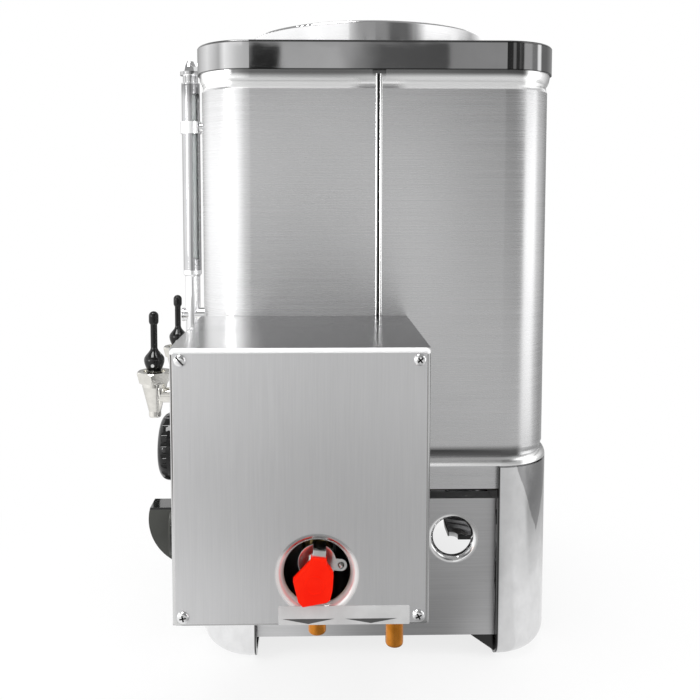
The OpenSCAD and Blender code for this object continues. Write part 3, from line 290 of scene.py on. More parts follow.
def tank_sheet(name, tint, rough):
    """Brushed tank sheet: painted shade in the cove over the lower bead and under the rim, painted
    highlights on the beads and a painted bright band below the rim.
    """
    f = Finish(name, metallic=1.0, anisotropic=0.6, anisotropic_rotation=0.25)
    fine, cloud = f.brush(TANK_GRAIN), f.noise(SHEET_CLOUD)
    foot = TANK_LOW[2]
    flat = f.step(f.inward(), 160 * MM, 150 * MM)
    lower_bead = f.step(f.z, *marks(foot, 9.5, 7.0))
    upper_bead = f.step(f.z, *marks(RIM_LOW, -17.2, -16.0))
    bead = f.maths("MAXIMUM", upper_bead, lower_bead)
    cove = f.band(f.z, *marks(foot, 7.5, 10.5, 15.0, 22.5))
    shadow = f.step(f.z, *marks(RIM_LOW, -8.5, -2.5))
    bright_band = f.band(f.z, *marks(RIM_LOW, -19.6, -18.6, -10.0, -7.5))
    painted_bright = f.times(bright_band, f.step(f.off_seam(), 14 * MM, 34 * MM), flat)
    # Painted light: a painted highlight on the beads, painted shade in the cove and under the rim, and a
    # painted bright band of pale, less metallic grey below the rim
    colour = f.blend(bead, f.grain(tint, fine, cloud), PAINTED_HIGHLIGHT)
    colour = f.blend(f.times(cove, flat, 0.85), colour, PAINTED_DARK)
    colour = f.blend(f.times(shadow, flat, 0.9), colour, grey(0.07))
    colour = f.blend(painted_bright, colour, grey(0.64))
    return f.feed(base_color=colour, metallic=f.span(painted_bright, 1.0, 0.15),
                  roughness=f.number(bead, f.satin(fine, cloud, rough, 0.06), 0.20),
                  tangent=f.add("ShaderNodeTangent", direction_type="RADIAL", axis="Z").outputs[0],
                  normal=f.bump(fine, 0.12, BRUSH_DEPTH))


def cover_sheet(name, tint, rough):
    """Satin cover sheet, paler at head and foot; round the hole, where it was drawn in, the lip gets a
    painted highlight with painted shade over its top.
    """
    f = Finish(name, metallic=1.0)
    fine, cloud = f.brush((900, 700, 16)), f.noise((6, 6, 5))
    head = f.step(f.z, *marks(BOX_HIGH[2], -120, -30))
    foot = f.step(f.z, *marks(BOX_LOW[2], 100, 20))
    plain, paler = (f.grain(scaled(tint, share), fine, cloud, *COVER_GRAIN_TONES) for share in (1.0, 1.09))
    sheet = f.blend(f.maths("MAXIMUM", head, foot), plain, paler)
    from_port = f.radius(PORT)
    drawn = f.step(from_port, 36.2 * MM, 34.2 * MM)
    inner = f.step(from_port, 31.5 * MM, 30.0 * MM)
    # Painted light round the hole: painted shade over the lip's top, a painted highlight of pale,
    # half-metallic grey on the rest
    shade = f.times(f.step(f.z, *marks(PORT[2], 12, 27)), f.span(inner, 1.0, 0.2))
    lip = f.blend(shade, (0.86, 0.86, 0.85), grey(0.46))
    painted_bright = f.times(drawn, f.span(shade, 1.0, 0.0))
    return f.feed(base_color=f.blend(drawn, sheet, lip), metallic=f.span(painted_bright, 1.0, 0.45),
                  roughness=f.number(drawn, f.vary(fine, rough - 0.03, rough + 0.03), 0.24),
                  normal=f.bump(fine, 0.05, FINE_DEPTH))


def skirt_sheet(name, tint, rough):
    """Satin skirt sheet, stretched bright where the air hole's edge was drawn in."""
    f = Finish(name, metallic=1.0)
    fine, cloud = f.brush((9, 9, 700)), f.noise(SHEET_CLOUD)
    drawn = f.step(f.radius(AIR_HOLE, f.along_side()), 28.4 * MM, 26.8 * MM)
    return f.feed(base_color=f.blend(drawn, f.grain(tint, fine, cloud), grey(0.90)),
                  roughness=f.number(drawn, f.satin(fine, cloud, rough, 0.04), 0.10),
                  normal=f.bump(fine, 0.08, BRUSH_DEPTH))


def box_sheet(name, tint, shaded_top_tint):
    """Folded box sheet: grained top in painted shade with a painted pool of light over the tap side, and
    folds round the cover in painted greys with a painted shade line by the side wall and a painted highlight
    along their top edge.
    """
    f = Finish(name, metallic=1.0)
    fine, cloud = f.brush((800, 6, 800)), f.noise((14, 10, 14))
    left, top = BOX_LOW[1], BOX_HIGH[2]
    # The top is painted shade, a dark tint, with a painted pool of light over the tap side
    slant = 0.1
    edge = spot(0, -153, 0)[1] - slant * AXIS_X
    tap_side = f.step(f.maths("MULTIPLY_ADD", f.x, -slant, f.y), *marks(edge, 12, -14))
    dull_and_shade, lit = (f.grain(t, fine, cloud, *BOX_GRAIN_TONES) for t in (shaded_top_tint, grey(0.80)))
    on_top = f.step(f.z, *marks(top, -1.2, -0.2))
    sheet = f.blend(on_top, f.grain(tint, fine, cloud), f.blend(tap_side, dull_and_shade, lit))
    # The fold round the cover gets painted greys, lighter near the left edge, a painted shade line by the
    # left wall and a painted highlight of pale, nearly non-metallic white along its top edge
    line = f.band(f.y, *marks(left, 1.0, 1.4, 2.2, 2.8))
    side_wall_shade = f.times(line, f.step(f.z, *marks(BOX_LOW[2], 60, 150)), 0.9)
    side = f.blend(f.step(f.y, *marks(left, 10, 6)), grey(0.42), grey(0.66))
    side = f.blend(side_wall_shade, side, (0.05, 0.042, 0.038))
    highlit_top_edge = f.step(f.z, *marks(top, -5.2, -4.2))
    fold = f.step(f.x, *marks(FACE, -6.2, -4.2))
    return f.feed(base_color=f.blend(fold, sheet, f.blend(highlit_top_edge, side, PAINTED_HIGHLIGHT)),
                  metallic=f.span(f.times(fold, highlit_top_edge), 1.0, 0.12),
                  roughness=f.number(fold, f.vary(fine, 0.15, 0.22), 0.16),
                  normal=f.bump(fine, 0.06, FINE_DEPTH))


def polished(name, tint, rough, wave, waves=(14, 14, 10), height=1.2 * MM, rim=False):
    """Bright steel with slow waves and hair-line wear; a rim gets painted dark reflections at its upper turn
    and lower edge.
    """
    f = Finish(name, metallic=1.0)
    slow = f.noise(waves, detail=1.5, rough=0.4)
    hair = f.noise(HAIR_LINES, detail=4, rough=0.7)
    smear = f.noise((30, 30, 30), detail=4)
    colour = f.mottle(smear, scaled(tint, 0.94), tint, (0.35, 0.7))
    if rim:
        # Painted dark reflection lines along the rim's upper turn and lower edge
        turn = f.band(f.z, *marks(RIM_HIGH, -3.0, -2.0, -0.4, 0))
        edge = f.step(f.z, *marks(RIM_LOW, 1.1, 0.6))
        colour = f.blend(f.times(f.maths("MAXIMUM", turn, edge), 0.85), colour, PAINTED_DARK)
    roughness = f.maths("ADD", f.vary(hair, rough * 0.7, rough * 1.3), f.vary(smear, 0, 0.02, (0.4, 0.7)))
    return f.feed(base_color=colour, roughness=roughness,
                  normal=f.bump(slow, wave, height, f.bump(hair, 0.03, HAIR_DEPTH)))


def seam_bright(name):
    """Polished strip with painted shade in its groove."""
    f = Finish(name, metallic=1.0)
    hair = f.noise((300, 300, 12), detail=4, rough=0.7)
    # Painted shade along the groove
    groove = f.step(f.off_seam(), 1.5 * MM, 1.0 * MM)
    return f.feed(base_color=f.blend(groove, grey(0.90), grey(0.02)), roughness=f.vary(hair, 0.10, 0.20),
                  normal=f.bump(hair, 0.05, FINE_DEPTH))


def cast_bright(name, tint, rough, corner=False):
    """Buffed casting with pits and soft lumps; a corner foot has a painted dark reflection slanting across
    its upper part and painted shade along its inner edge.
    """
    f = Finish(name, metallic=1.0)
    lumps = f.noise((38, 38, 26), detail=2, rough=0.5)
    pits = f.noise((420, 420, 420), detail=4, rough=0.65)
    patch = f.noise((55, 55, 40), detail=5, rough=0.6)
    colour = f.mottle(patch, scaled(tint, 0.90), tint)
    if corner:
        inward = f.inward()
        lean, ragged = 0.328, 6 * MM
        slant = f.maths("MULTIPLY_ADD", patch, ragged, f.maths("MULTIPLY_ADD", f.z, lean, inward))
        # Painted dark reflection slanting across the upper part, and painted shade along the inner edge by
        # the gap to the skirt
        slanted_reflection = f.step(slant, 223.8 * MM, 225.8 * MM)
        gap_shade = f.step(inward, 132.8 * MM, 131.5 * MM)
        colour = f.blend(f.times(slanted_reflection, 0.8), colour, steel(0.36))
        colour = f.blend(gap_shade, colour, grey(0.045))
    skin = f.vary(patch, rough + 0.06, rough - 0.04, MIDDLE_NOISE)
    return f.feed(base_color=colour, roughness=f.maths("ADD", skin, f.vary(pits, -0.02, 0.04)),
                  normal=f.bump(lumps, 0.12, 1.6 * MM, f.bump(pits, 0.05, 0.2 * MM)))


def dark_iron(name):
    """Sandy cast iron, browned by heat."""
    f = Finish(name, metallic=0.35)
    sand = f.brush((520, 520, 520))
    heat = f.noise((26, 26, 26))
    return f.feed(base_color=f.mottle(heat, (0.030, 0.028, 0.027), (0.085, 0.062, 0.050)),
                  roughness=f.vary(sand, 0.55, 0.85), normal=f.bump(sand, 0.4, 0.6 * MM))


def drawn_copper(name, tint, shade, rough):
    """Tube metal with draw lines along its length and darker handling stains."""
    f = Finish(name, metallic=1.0)
    lines = f.noise((700, 700, 8), detail=4, rough=0.7)
    stain = f.noise((70, 70, 55), detail=5, rough=0.65)
    drawn = f.vary(lines, rough - 0.06, rough + 0.06)
    return f.feed(base_color=f.mottle(stain, tint, shade, (0.35, 0.75)),
                  roughness=f.maths("ADD", drawn, f.vary(stain, -0.04, 0.12, (0.35, 0.7))),
                  normal=f.bump(lines, 0.12, 0.2 * MM))


def plated(name, tint, rough):
    """Satin plate over a turned piece."""
    f = Finish(name, metallic=1.0)
    turned = f.noise((60, 60, 1100), rough=0.6)
    dull_and_shade = f.noise((160, 160, 160), detail=4)
    skin = f.vary(dull_and_shade, rough - 0.04, rough + 0.06, MIDDLE_NOISE)
    return f.feed(base_color=f.mottle(dull_and_shade, scaled(tint, 0.92), tint),
                  roughness=f.maths("ADD", skin, f.vary(turned, -0.02, 0.02)),
                  normal=f.bump(turned, 0.06, FINE_DEPTH))


def moulded(name, dark, light, rough, coat=0.0, grain=0.05, gleam=0.5, glossy_above=None):
    """Moulded plastic with a faint flow pattern and rubbed spots, glossy above a height if one is given."""
    f = Finish(name, metallic=0.0, ior=1.5, specular_ior_level=gleam, coat_weight=coat, coat_roughness=0.05)
    flow = f.noise((45, 45, 45), detail=4)
    skin = f.noise((1500, 1500, 1500), detail=2)
    colour = f.mottle(flow, dark, light)
    rubbed = f.vary(flow, rough - 0.04, rough + 0.06, MIDDLE_NOISE)
    roughness = f.maths("ADD", rubbed, f.span(skin, -0.02, 0.02))
    if glossy_above is not None:
        gloss = f.step(f.z, *marks(glossy_above, 0, 0.8))
        roughness = f.number(gloss, roughness, 0.05)
        colour = f.blend(gloss, colour, (0.012, 0.013, 0.012))
    return f.feed(base_color=colour, roughness=roughness, normal=f.bump(skin, grain, FINE_DEPTH))


def clear_tube(name):
    """Gauge glass with a thin film of use."""
    f = Finish(name, metallic=0.0, ior=1.47, transmission_weight=0.3)
    film = f.noise((90, 90, 25), detail=4)
    return f.feed(base_color=f.mottle(film, (0.93, 0.97, 0.96), (0.86, 0.92, 0.91), (0.4, 0.7)),
                  roughness=f.vary(film, 0.0, 0.05, (0.4, 0.8)))


FINISHES = {
    "tank": tank_sheet("tank_brushed_steel", steel(0.66), 0.26),
    "inner": inner_sheet("inner_brushed_steel", steel(0.66), 0.28),
    "skirt": skirt_sheet("skirt_satin_steel", steel(0.58), 0.34),
    "cover": cover_sheet("cover_satin_steel", steel(0.665), 0.40),
    "box": box_sheet("box_satin_steel", steel(0.66), steel(0.20)),
    "rim": polished("rim_polished_steel", steel(0.82), 0.03, 0.14, (16, 16, 26), 1.4 * MM, rim=True),
    "lid": polished("lid_polished_steel", steel(0.80), 0.09, 0.12),
    "bright": polished("trim_bright_steel", steel(0.86), 0.07, 0.06),
    "guard": polished("guard_bright_steel", steel(0.42), 0.08, 0.06),
    # Near-black slot faces: painted shade in the screw recesses
    "recess": moulded("screw_recess_painted_shade", grey(0.010), (0.016, 0.014, 0.012), 0.6),
    "seam": seam_bright("seam_bright_steel"),
    "foot": cast_bright("foot_buffed_casting", steel(0.86), 0.15, corner=True),
    "control": cast_bright("control_casting", (0.55, 0.55, 0.56), 0.42),
    "iron": dark_iron("burner_iron"),
    "copper": drawn_copper("tube_copper", (0.76, 0.29, 0.045), (0.42, 0.145, 0.014), 0.20),
    "brass": drawn_copper("turned_brass", (0.78, 0.60, 0.28), (0.50, 0.36, 0.14), 0.26),
    "nickel": plated("tap_nickel", (0.78, 0.765, 0.72), 0.15),
    "zinc": plated("handle_zinc_plate", (0.80, 0.80, 0.79), 0.20),
    "black": moulded("lever_black_moulding", grey(0.005), grey(0.010), 0.13, coat=0.6, gleam=0.05),
    "knob": moulded("gas_knob_moulding", (0.040, 0.042, 0.036), (0.052, 0.054, 0.047), 0.45, grain=0.02,
                    glossy_above=KNOB_TOP - 2.2 * MM),
    "red": moulded("grip_red_vinyl", (0.94, 0.011, 0.001), (1.0, 0.019, 0.003), 0.5, grain=0.12, gleam=0.04),
    "glass": clear_tube("gauge_clear_glass"),
    "rubber": moulded("seal_silicone", (0.50, 0.49, 0.46), (0.60, 0.59, 0.55), 0.6),
    "film": moulded("label_pale_film", grey(0.53), grey(0.60), 0.45),
    "ink": moulded("label_dark_ink", grey(0.055), grey(0.075), 0.5),
}

WEARS = {
    "tank": ["tank_shell"],
    "inner": ["tank_floor", "base_band", "coffee_liner", "filter_basket", "liner_outlet"],
    "skirt": ["skirt_front", "skirt_right", "skirt_rear", "skirt_left"],
    "cover": ["box_cover"],
    "box": ["box_shell"],
    "rim": ["top_cover"],
    "lid": ["lid", "brew_collar"],
    "guard": ["gauge_guard"],
    "bright": ["gauge_cap", "gauge_clip", "gauge_base", "gauge_plug", "cover_screws"],
    "seam": ["seam_strips"],
    "foot": ["foot_front_right", "foot_rear_right", "foot_rear_left", "foot_front_left"],
    "control": ["gas_control", "gas_feed_pipe"],
    "iron": ["burner", "burner_bracket"],
    "copper": ["gas_inlet_tube", "gas_link_tube", "water_inlet_tube", "thermostat_probe"],
    "brass": ["gas_valve_body", "gas_valve_stem", "water_union", "tap_lock_nuts"],
    "nickel": ["tap_body_right", "tap_bonnet_right", "tap_body_left", "tap_bonnet_left"],
    "zinc": ["valve_handle", "valve_nut", "gas_knob_shaft", "tap_stem_right", "tap_stem_left",
             "tap_pin_right", "tap_pin_left"],
    "black": ["thermostat_dial", "tap_lever_right", "tap_lever_left", "lid_knob"],
    "knob": ["gas_knob"],
    "red": ["handle_grip"],
    "glass": ["gauge_glass"],
    "rubber": ["tap_gaskets", "tap_seat_right", "tap_seat_left"],
}
FINISH_OF = {node: finish for finish, worn in WEARS.items() for node in worn}

for name, node in nodes.items():
    node.data.materials.clear()
    node.data.materials.append(FINISHES[FINISH_OF[name]])


# Pieces: softened copies of the turned and pressed fittings, and the small ones the solids leave out

def new_piece(name, mesh, body, slot, *stands_for):
    obj = bpy.data.objects.new(name, mesh)
    scene.collection.objects.link(obj)
    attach(obj, body)
    if stands_for:
        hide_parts(*stands_for)
    return obj


WELD = 1e-6
FLAT_ANGLE, SHARP_ANGLE = math.radians(0.6), math.radians(32)


def soften(node, width, segments):
    """Copy of a node with its sharp edges broken, as a tumbled or polished piece has them."""
    bm = bmesh.new()
    bm.from_mesh(nodes[node].data)
    bmesh.ops.remove_doubles(bm, verts=bm.verts, dist=WELD)
    bmesh.ops.dissolve_limit(bm, angle_limit=FLAT_ANGLE, verts=bm.verts, edges=bm.edges)
    mesh = bpy.data.meshes.new("soft_" + node)
    bm.to_mesh(mesh)
    bm.free()
    if "custom_normal" in mesh.attributes:
        mesh.attributes.remove(mesh.attributes["custom_normal"])
    mesh.shade_smooth()
    mesh.materials.clear()
    mesh.materials.append(FINISHES[FINISH_OF[node]])
    obj = new_piece("soft_" + node, mesh, BODY_OF[node], SLOT_OF[node], node)
    edge = obj.modifiers.new("broken_edges", "BEVEL")
    edge.width = width * MM
    edge.segments = segments
    edge.limit_method = "ANGLE"
    edge.angle_limit = SHARP_ANGLE
    edge.harden_normals = True
    edge.use_clamp_overlap = True


BROKEN_EDGES = {
    "tap_bonnet_right": 0.6, "tap_bonnet_left": 0.6, "valve_handle": 0.45, "valve_nut": 0.6,
    "gauge_cap": 0.6, "gauge_clip": 0.5, "gauge_plug": 0.5, "handle_grip": 2.0, "gas_knob": 1.0,
}
ROUNDEST = ("handle_grip", "gas_knob")
for name, width in BROKEN_EDGES.items():
    soften(name, width, 4 if name in ROUNDEST else 2)


def lathe(bm, centre, profile, sides=32):
    """Turned shape along X: profile holds distance along the axis and radius, in millimetres."""
    rows = []
    for along, r in profile:
        rows.append([bm.verts.new(centre + Vector((along, r * math.cos(a), r * math.sin(a))) * MM)
                     for a in (2 * math.pi * k / sides for k in range(sides))])
    for low, high in zip(rows, rows[1:]):
        for k in range(sides):
            bm.faces.new((low[k], low[(k + 1) % sides], high[(k + 1) % sides], high[k]))
    for row in (rows[0], rows[-1]):
        bm.faces.new(row)


def close_mesh(bm, name, *finishes):
    bmesh.ops.recalc_face_normals(bm, faces=bm.faces)
    mesh = bpy.data.meshes.new(name)
    bm.to_mesh(mesh)
    bm.free()
    for finish in finishes:
        mesh.materials.append(FINISHES[finish])
    return mesh


STUD_PLACE = spot(371.5, -43.5, 189.3)
STUD_SHANK = [(-3.0, 2.5), (-0.9, 2.5), (-0.7, 2.3), (1.1, 2.3)]
STUD_DOME = (2.0, 2.3)


def make_lock_stud():
    """Riveted stud in the handle's lock ear."""
    bm = bmesh.new()
    start = STUD_SHANK[-1][0]
    height, radius = STUD_DOME
    turns = [math.radians(a) for a in range(14, 86, 14)]
    dome = [(start + height * math.sin(t), radius * math.cos(t)) for t in turns]
    lathe(bm, STUD_PLACE, STUD_SHANK + dome)
    mesh = close_mesh(bm, "lock_ear_stud", "zinc")
    mesh.shade_smooth()
    mesh.set_sharp_from_angle(angle=math.radians(40))
    new_piece("lock_ear_stud", mesh, "shut_off", "plated_steel")


LABEL_Y, LABEL_Z = (-96.5, 14.1), (144.2, 160.5)
LABEL_CORNER = 1.2
LABEL_FILM, LABEL_INK = (0.0, 0.25), (0.2, 0.32)
GAS_POINTER = [(-93.1, 149.4), (-71.4, 145.0), (-49.6, 149.4)]
WATER_POINTER = [(-40.4, 149.3), (-18.6, 145.3), (3.5, 149.3)]


def make_label():
    """Bare pale strip under the valve's hole with two plain pointers to the stubs."""
    bm = bmesh.new()

    def plate(outline, depths, index):
        ends = []
        for depth in depths:
            ends.append([bm.verts.new(Vector((FACE + depth * MM, *spot(0, y, z)[1:]))) for y, z in outline])
        faces = [bm.faces.new(end) for end in ends]
        for k in range(len(outline)):
            j = (k + 1) % len(outline)
            faces.append(bm.faces.new((ends[0][k], ends[0][j], ends[1][j], ends[1][k])))
        for face in faces:
            face.material_index = index

    (y0, y1), (z0, z1), r = LABEL_Y, LABEL_Z, LABEL_CORNER
    corner = [(1 - math.sin(math.radians(a)), 1 - math.cos(math.radians(a))) for a in (0, 30, 60, 90)]
    ring = [(y1 - r * u, z0 + r * v) for u, v in corner] + [(y1 - r * v, z1 - r * u) for u, v in corner]
    ring += [(y0 + r * u, z1 - r * v) for u, v in corner] + [(y0 + r * v, z0 + r * u) for u, v in corner]
    plate(ring, LABEL_FILM, 0)
    plate(GAS_POINTER, LABEL_INK, 1)
    plate(WATER_POINTER, LABEL_INK, 1)
    new_piece("cover_label", close_mesh(bm, "cover_label", "film", "ink"), "urn", "brushed_steel")


RING_PROFILE = [(-0.6, 8.6), (0.12, 8.3), (0.22, 7.9), (0.22, 7.3), (0.12, 6.9), (-0.6, 6.6)]


def make_grip_ring():
    """Faint raised ring moulded on the grip's face."""
    bm = bmesh.new()
    low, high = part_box("handle_grip")
    middle = Vector((high[0], (low[1] + high[1]) / 2 + 1.2 * MM, low[2] + 18.5 * MM))
    lathe(bm, middle, RING_PROFILE, 48)
    new_piece("grip_ring", close_mesh(bm, "grip_ring", "red"), "shut_off", "red_vinyl")


HEAD_RADIUS = 5.3 * MM
SCREW_SIZES = {
    "Head Radius": HEAD_RADIUS, "Head Height": 2.6 * MM, "Slot Width": 1.3 * MM, "Slot Depth": 1.3 * MM,
    "Cross Length": 5.6 * MM, "Shank Radius": 2 * MM, "Shank Length": 10 * MM,
}
HEAD_FALL = 0.80
SLOT_SHARE = 1.74


def screw_tree():
    """Truss-head screws on points: the point's slots value picks one slot or a cross recess."""
    tree = bpy.data.node_groups.new("cover_screw_heads", "GeometryNodeTree")
    w = Wiring(tree)
    tree.interface.new_socket("Points", in_out="INPUT", socket_type="NodeSocketGeometry")
    for label, value in SCREW_SIZES.items():
        size = tree.interface.new_socket(label, in_out="INPUT", socket_type="NodeSocketFloat")
        size.default_value = value
    for label in ("Finish", "Recess"):
        tree.interface.new_socket(label, in_out="INPUT", socket_type="NodeSocketMaterial")
    tree.interface.new_socket("Screws", in_out="OUTPUT", socket_type="NodeSocketGeometry")
    given = w.add("NodeGroupInput").outputs

    def vector(x=0.0, y=0.0, z=0.0):
        return w.add("ShaderNodeCombineXYZ", {0: x, 1: y, 2: z}).outputs[0]

    def moved(shape, shift, turn=(0, 0, 0)):
        return w.add("GeometryNodeTransform", {0: shape, 1: shift, 2: turn}).outputs[0]

    along = w.add("GeometryNodeSplineParameter").outputs["Factor"]
    fall = w.maths("SQRT", w.maths("MULTIPLY_ADD", w.times(along, along), -HEAD_FALL, 1.0))
    line = w.add("GeometryNodeCurvePrimitiveLine", {1: vector(z=given["Head Height"])}).outputs[0]
    fine = w.add("GeometryNodeResampleCurve", {0: line, 2: 9}).outputs[0]
    circle = w.add("GeometryNodeCurvePrimitiveCircle", {0: 32, 4: given["Head Radius"]}).outputs[0]
    dome = w.add("GeometryNodeCurveToMesh", {0: fine, 1: circle, 2: fall, 3: True}).outputs[0]

    def cut(length, turns):
        """Head with a bar taken out of it at each turn."""
        size = vector(length, given["Slot Width"], w.times(given["Slot Depth"], 2.0))
        bar = w.add("GeometryNodeSetMaterial", {
            0: w.add("GeometryNodeMeshCube", {0: size}).outputs[0], 2: given["Recess"]}).outputs[0]
        bars = [moved(bar, vector(z=given["Head Height"]), (0, 0, math.radians(t))) for t in turns]
        head = dome
        for b in bars:
            head = w.add("GeometryNodeMeshBoolean", {0: head, 1: b}, operation="DIFFERENCE").outputs[0]
        return head

    shank = w.add("GeometryNodeMeshCylinder", {
        0: 16, 3: given["Shank Radius"], 4: given["Shank Length"]}).outputs[0]
    shank = moved(shank, vector(z=w.times(given["Shank Length"], -0.5)))
    slots = w.add("GeometryNodeInputNamedAttribute", {0: "slots"}, data_type="INT").outputs[0]
    roll = w.add("GeometryNodeInputNamedAttribute", {0: "roll"}, data_type="FLOAT").outputs[0]
    roll_turn = w.add("FunctionNodeEulerToRotation", {0: vector(z=roll)}).outputs[0]
    face_turn = w.add("FunctionNodeEulerToRotation", {0: (0, math.radians(90), 0)}).outputs[0]
    turn = w.add("FunctionNodeRotateRotation", {0: face_turn, 1: roll_turn},
                 rotation_space="LOCAL").outputs[0]
    both = w.add("GeometryNodeJoinGeometry")
    slotted = cut(w.times(given["Head Radius"], SLOT_SHARE), (0,))
    crossed = cut(given["Cross Length"], (0, 90))
    for count, head in ((1, slotted), (2, crossed)):
        screw = w.add("GeometryNodeJoinGeometry")
        tree.links.new(head, screw.inputs[0])
        tree.links.new(shank, screw.inputs[0])
        chosen = w.add("FunctionNodeCompare", {2: slots, 3: count}, data_type="INT",
                       operation="EQUAL").outputs[0]
        placed = w.add("GeometryNodeInstanceOnPoints", {
            0: given["Points"], 1: chosen, 2: screw.outputs[0], 5: turn}).outputs[0]
        tree.links.new(placed, both.inputs[0])
    whole = w.add("GeometryNodeRealizeInstances", {0: both.outputs[0]}).outputs[0]
    cut_face = w.add("GeometryNodeMaterialSelection", {0: given["Recess"]}).outputs[0]
    kept_face = w.add("FunctionNodeBooleanMath", {0: cut_face}, operation="NOT").outputs[0]
    worn = w.add("GeometryNodeSetMaterial", {0: whole, 1: kept_face, 2: given["Finish"]}).outputs[0]
    w.add("NodeGroupOutput", {0: worn})
    return tree


def make_screws():
    """Three cross-recess screws and one slotted odd one, as the cover has them."""
    low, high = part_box("cover_screws")
    left, right = low[1] + HEAD_RADIUS, high[1] - HEAD_RADIUS
    foot, top = low[2] + HEAD_RADIUS, high[2] - HEAD_RADIUS
    places = [(left, top), (right, top), (left, foot), (right, foot)]
    slots = [1, 2, 2, 2]
    rolls = [math.radians(a) for a in (42, 38, 12, 27)]
    mesh = bpy.data.meshes.new("cover_screw_points")
    mesh.from_pydata([(FACE, y, z) for y, z in places], [], [])
    for label, kind, values in (("slots", "INT", slots), ("roll", "FLOAT", rolls)):
        mesh.attributes.new(label, kind, "POINT").data.foreach_set("value", values)
    holder = bpy.data.objects.new("cover_screw_points", mesh)
    scene.collection.objects.link(holder)
    tree = screw_tree()
    make = holder.modifiers.new("screws", "NODES")
    make.node_group = tree
    worn = {"Finish": FINISHES["bright"], "Recess": FINISHES["recess"]}
    for item in tree.interface.items_tree:
        if item.in_out == "INPUT" and item.name in worn:
            make[item.identifier] = worn[item.name]
    ready = holder.evaluated_get(bpy.context.evaluated_depsgraph_get())
    heads = bpy.data.meshes.new_from_object(ready)
    holder.modifiers.clear()
    bpy.data.objects.remove(holder)
    heads.name = "cover_screw_heads"
    heads.shade_smooth()
    heads.set_sharp_from_angle(angle=math.radians(30))
    new_piece("cover_screw_heads", heads, "urn", "polished_steel", "cover_screws")


make_lock_stud()
make_label()
make_grip_ring()
make_screws()


# Studio: pale floor, reflection boards that only shiny surfaces see, soft lamps

WHITE = (1, 1, 1, 1)
SQUARE = [(0, 1, 2, 3)]
FLOOR_REACH = 8.0
SHADOW_FADES = (0.20, 0.62)
WHITE_SHARE = (0.80, 1.0)
SOFT_LIGHT = 0.62
BOARD_REACH, BOARD_LOW, BOARD_TOP = 3.0, -0.01, 2.6
JUST_OVER_FLOOR = 0.4 * MM
WALL_SIDES = 72
ROOF_WINDOW = [(0.25, -1.3, 2.5), (1.1, -1.3, 2.5), (1.1, -0.35, 2.5), (0.25, -0.35, 2.5)]
SIDE_WINDOW_REACH, SIDE_WINDOW_BEARINGS, SIDE_WINDOW_HEIGHTS = 2.8, (-56, -49), (0.3, 0.95)
TOP_LEVEL = 2.0
AHEAD = (-20, 40)


def stage_mesh(name, verts, faces, mat):
    mesh = bpy.data.meshes.new(name)
    mesh.from_pydata(verts, [], faces)
    mesh.materials.append(mat)
    obj = bpy.data.objects.new(name, mesh)
    scene.collection.objects.link(obj)
    return obj


def stage_wiring(name):
    mat = bpy.data.materials.new(name)
    mat.use_nodes = True
    return mat, Wiring(mat.node_tree)


def square_verts(r, z):
    return [(-r, -r, z), (r, -r, z), (r, r, z), (-r, r, z)]


def make_floor():
    """Pale floor that keeps a faint shadow of the urn and runs into white further out."""
    mat, w = stage_wiring("studio_floor")
    soft = w.add("ShaderNodeBsdfDiffuse", {0: (*grey(0.95), 1)}).outputs[0]
    white = w.add("ShaderNodeEmission", {0: WHITE}).outputs[0]
    away = w.add("ShaderNodeVectorMath", {0: w.place()}, operation="LENGTH").outputs["Value"]
    share = w.span(w.step(away, *SHADOW_FADES), *WHITE_SHARE)
    mixed = w.add("ShaderNodeMixShader", {0: share, 1: soft, 2: white}).outputs[0]
    w.add("ShaderNodeOutputMaterial", {0: mixed})
    stage_mesh("floor", square_verts(FLOOR_REACH, 0.0), SQUARE, mat)


def greys(w, bearing, stops, start=-180, end=180):
    """Ramp of greys over part of the bearings, given in degrees."""
    ramp = w.add("ShaderNodeValToRGB", {0: w.span(bearing, 0, 1, start, end)})
    elements = ramp.color_ramp.elements
    elements.remove(elements[-1])
    elements[0].position = 0
    for k, (at, level) in enumerate(stops):
        element = elements.new((at - start) / (end - start)) if k else elements[0]
        element.color = (*grey(level / TOP_LEVEL), 1)
    return ramp.outputs[0]


def panorama(w, bearing, stops):
    """Greys all round, with the sector that the box side mirrors drawn finely."""
    first, last = AHEAD

    def level(at):
        for (a, low), (b, high) in zip(stops, stops[1:]):
            if a <= at <= b:
                return low + (high - low) * (at - a) / (b - a)

    ahead = [(first, level(first))] + [(a, g) for a, g in stops if first < a < last] + [(last, level(last))]
    round_about = [(a, g) for a, g in stops if a <= first or a >= last]
    inside = w.maths("COMPARE", bearing, (first + last) / 2, (last - first) / 2)
    return w.blend(inside, greys(w, bearing, round_about), greys(w, bearing, ahead, first, last))


def board(name, verts, faces, base, above=(), rings=False, gain=1):
    """Board seen only in gloss, painted with greys by bearing.

    Further greys take over above a height each or, on rings, beyond a distance from the tank's axis.
    """
    mat, w = stage_wiring(name)
    x, y, z = w.axes(w.place())
    if rings:
        x, y = w.from_axis(x, y)
        z = w.distance(x, y)
    bearing = w.times(w.maths("ARCTAN2", y, x), 180 / math.pi)
    shade = panorama(w, bearing, base)
    for low, high, stops in above:
        shade = w.blend(w.step(z, low, high), shade, panorama(w, bearing, stops))
    glow = w.add("ShaderNodeEmission", {0: shade, 1: TOP_LEVEL * gain}).outputs[0]
    w.add("ShaderNodeOutputMaterial", {0: glow})
    obj = stage_mesh(name, verts, faces, mat)
    obj.visible_camera = obj.visible_diffuse = obj.visible_shadow = obj.visible_volume_scatter = False


# Greys of the boards: a bearing in degrees from the box side, and a level

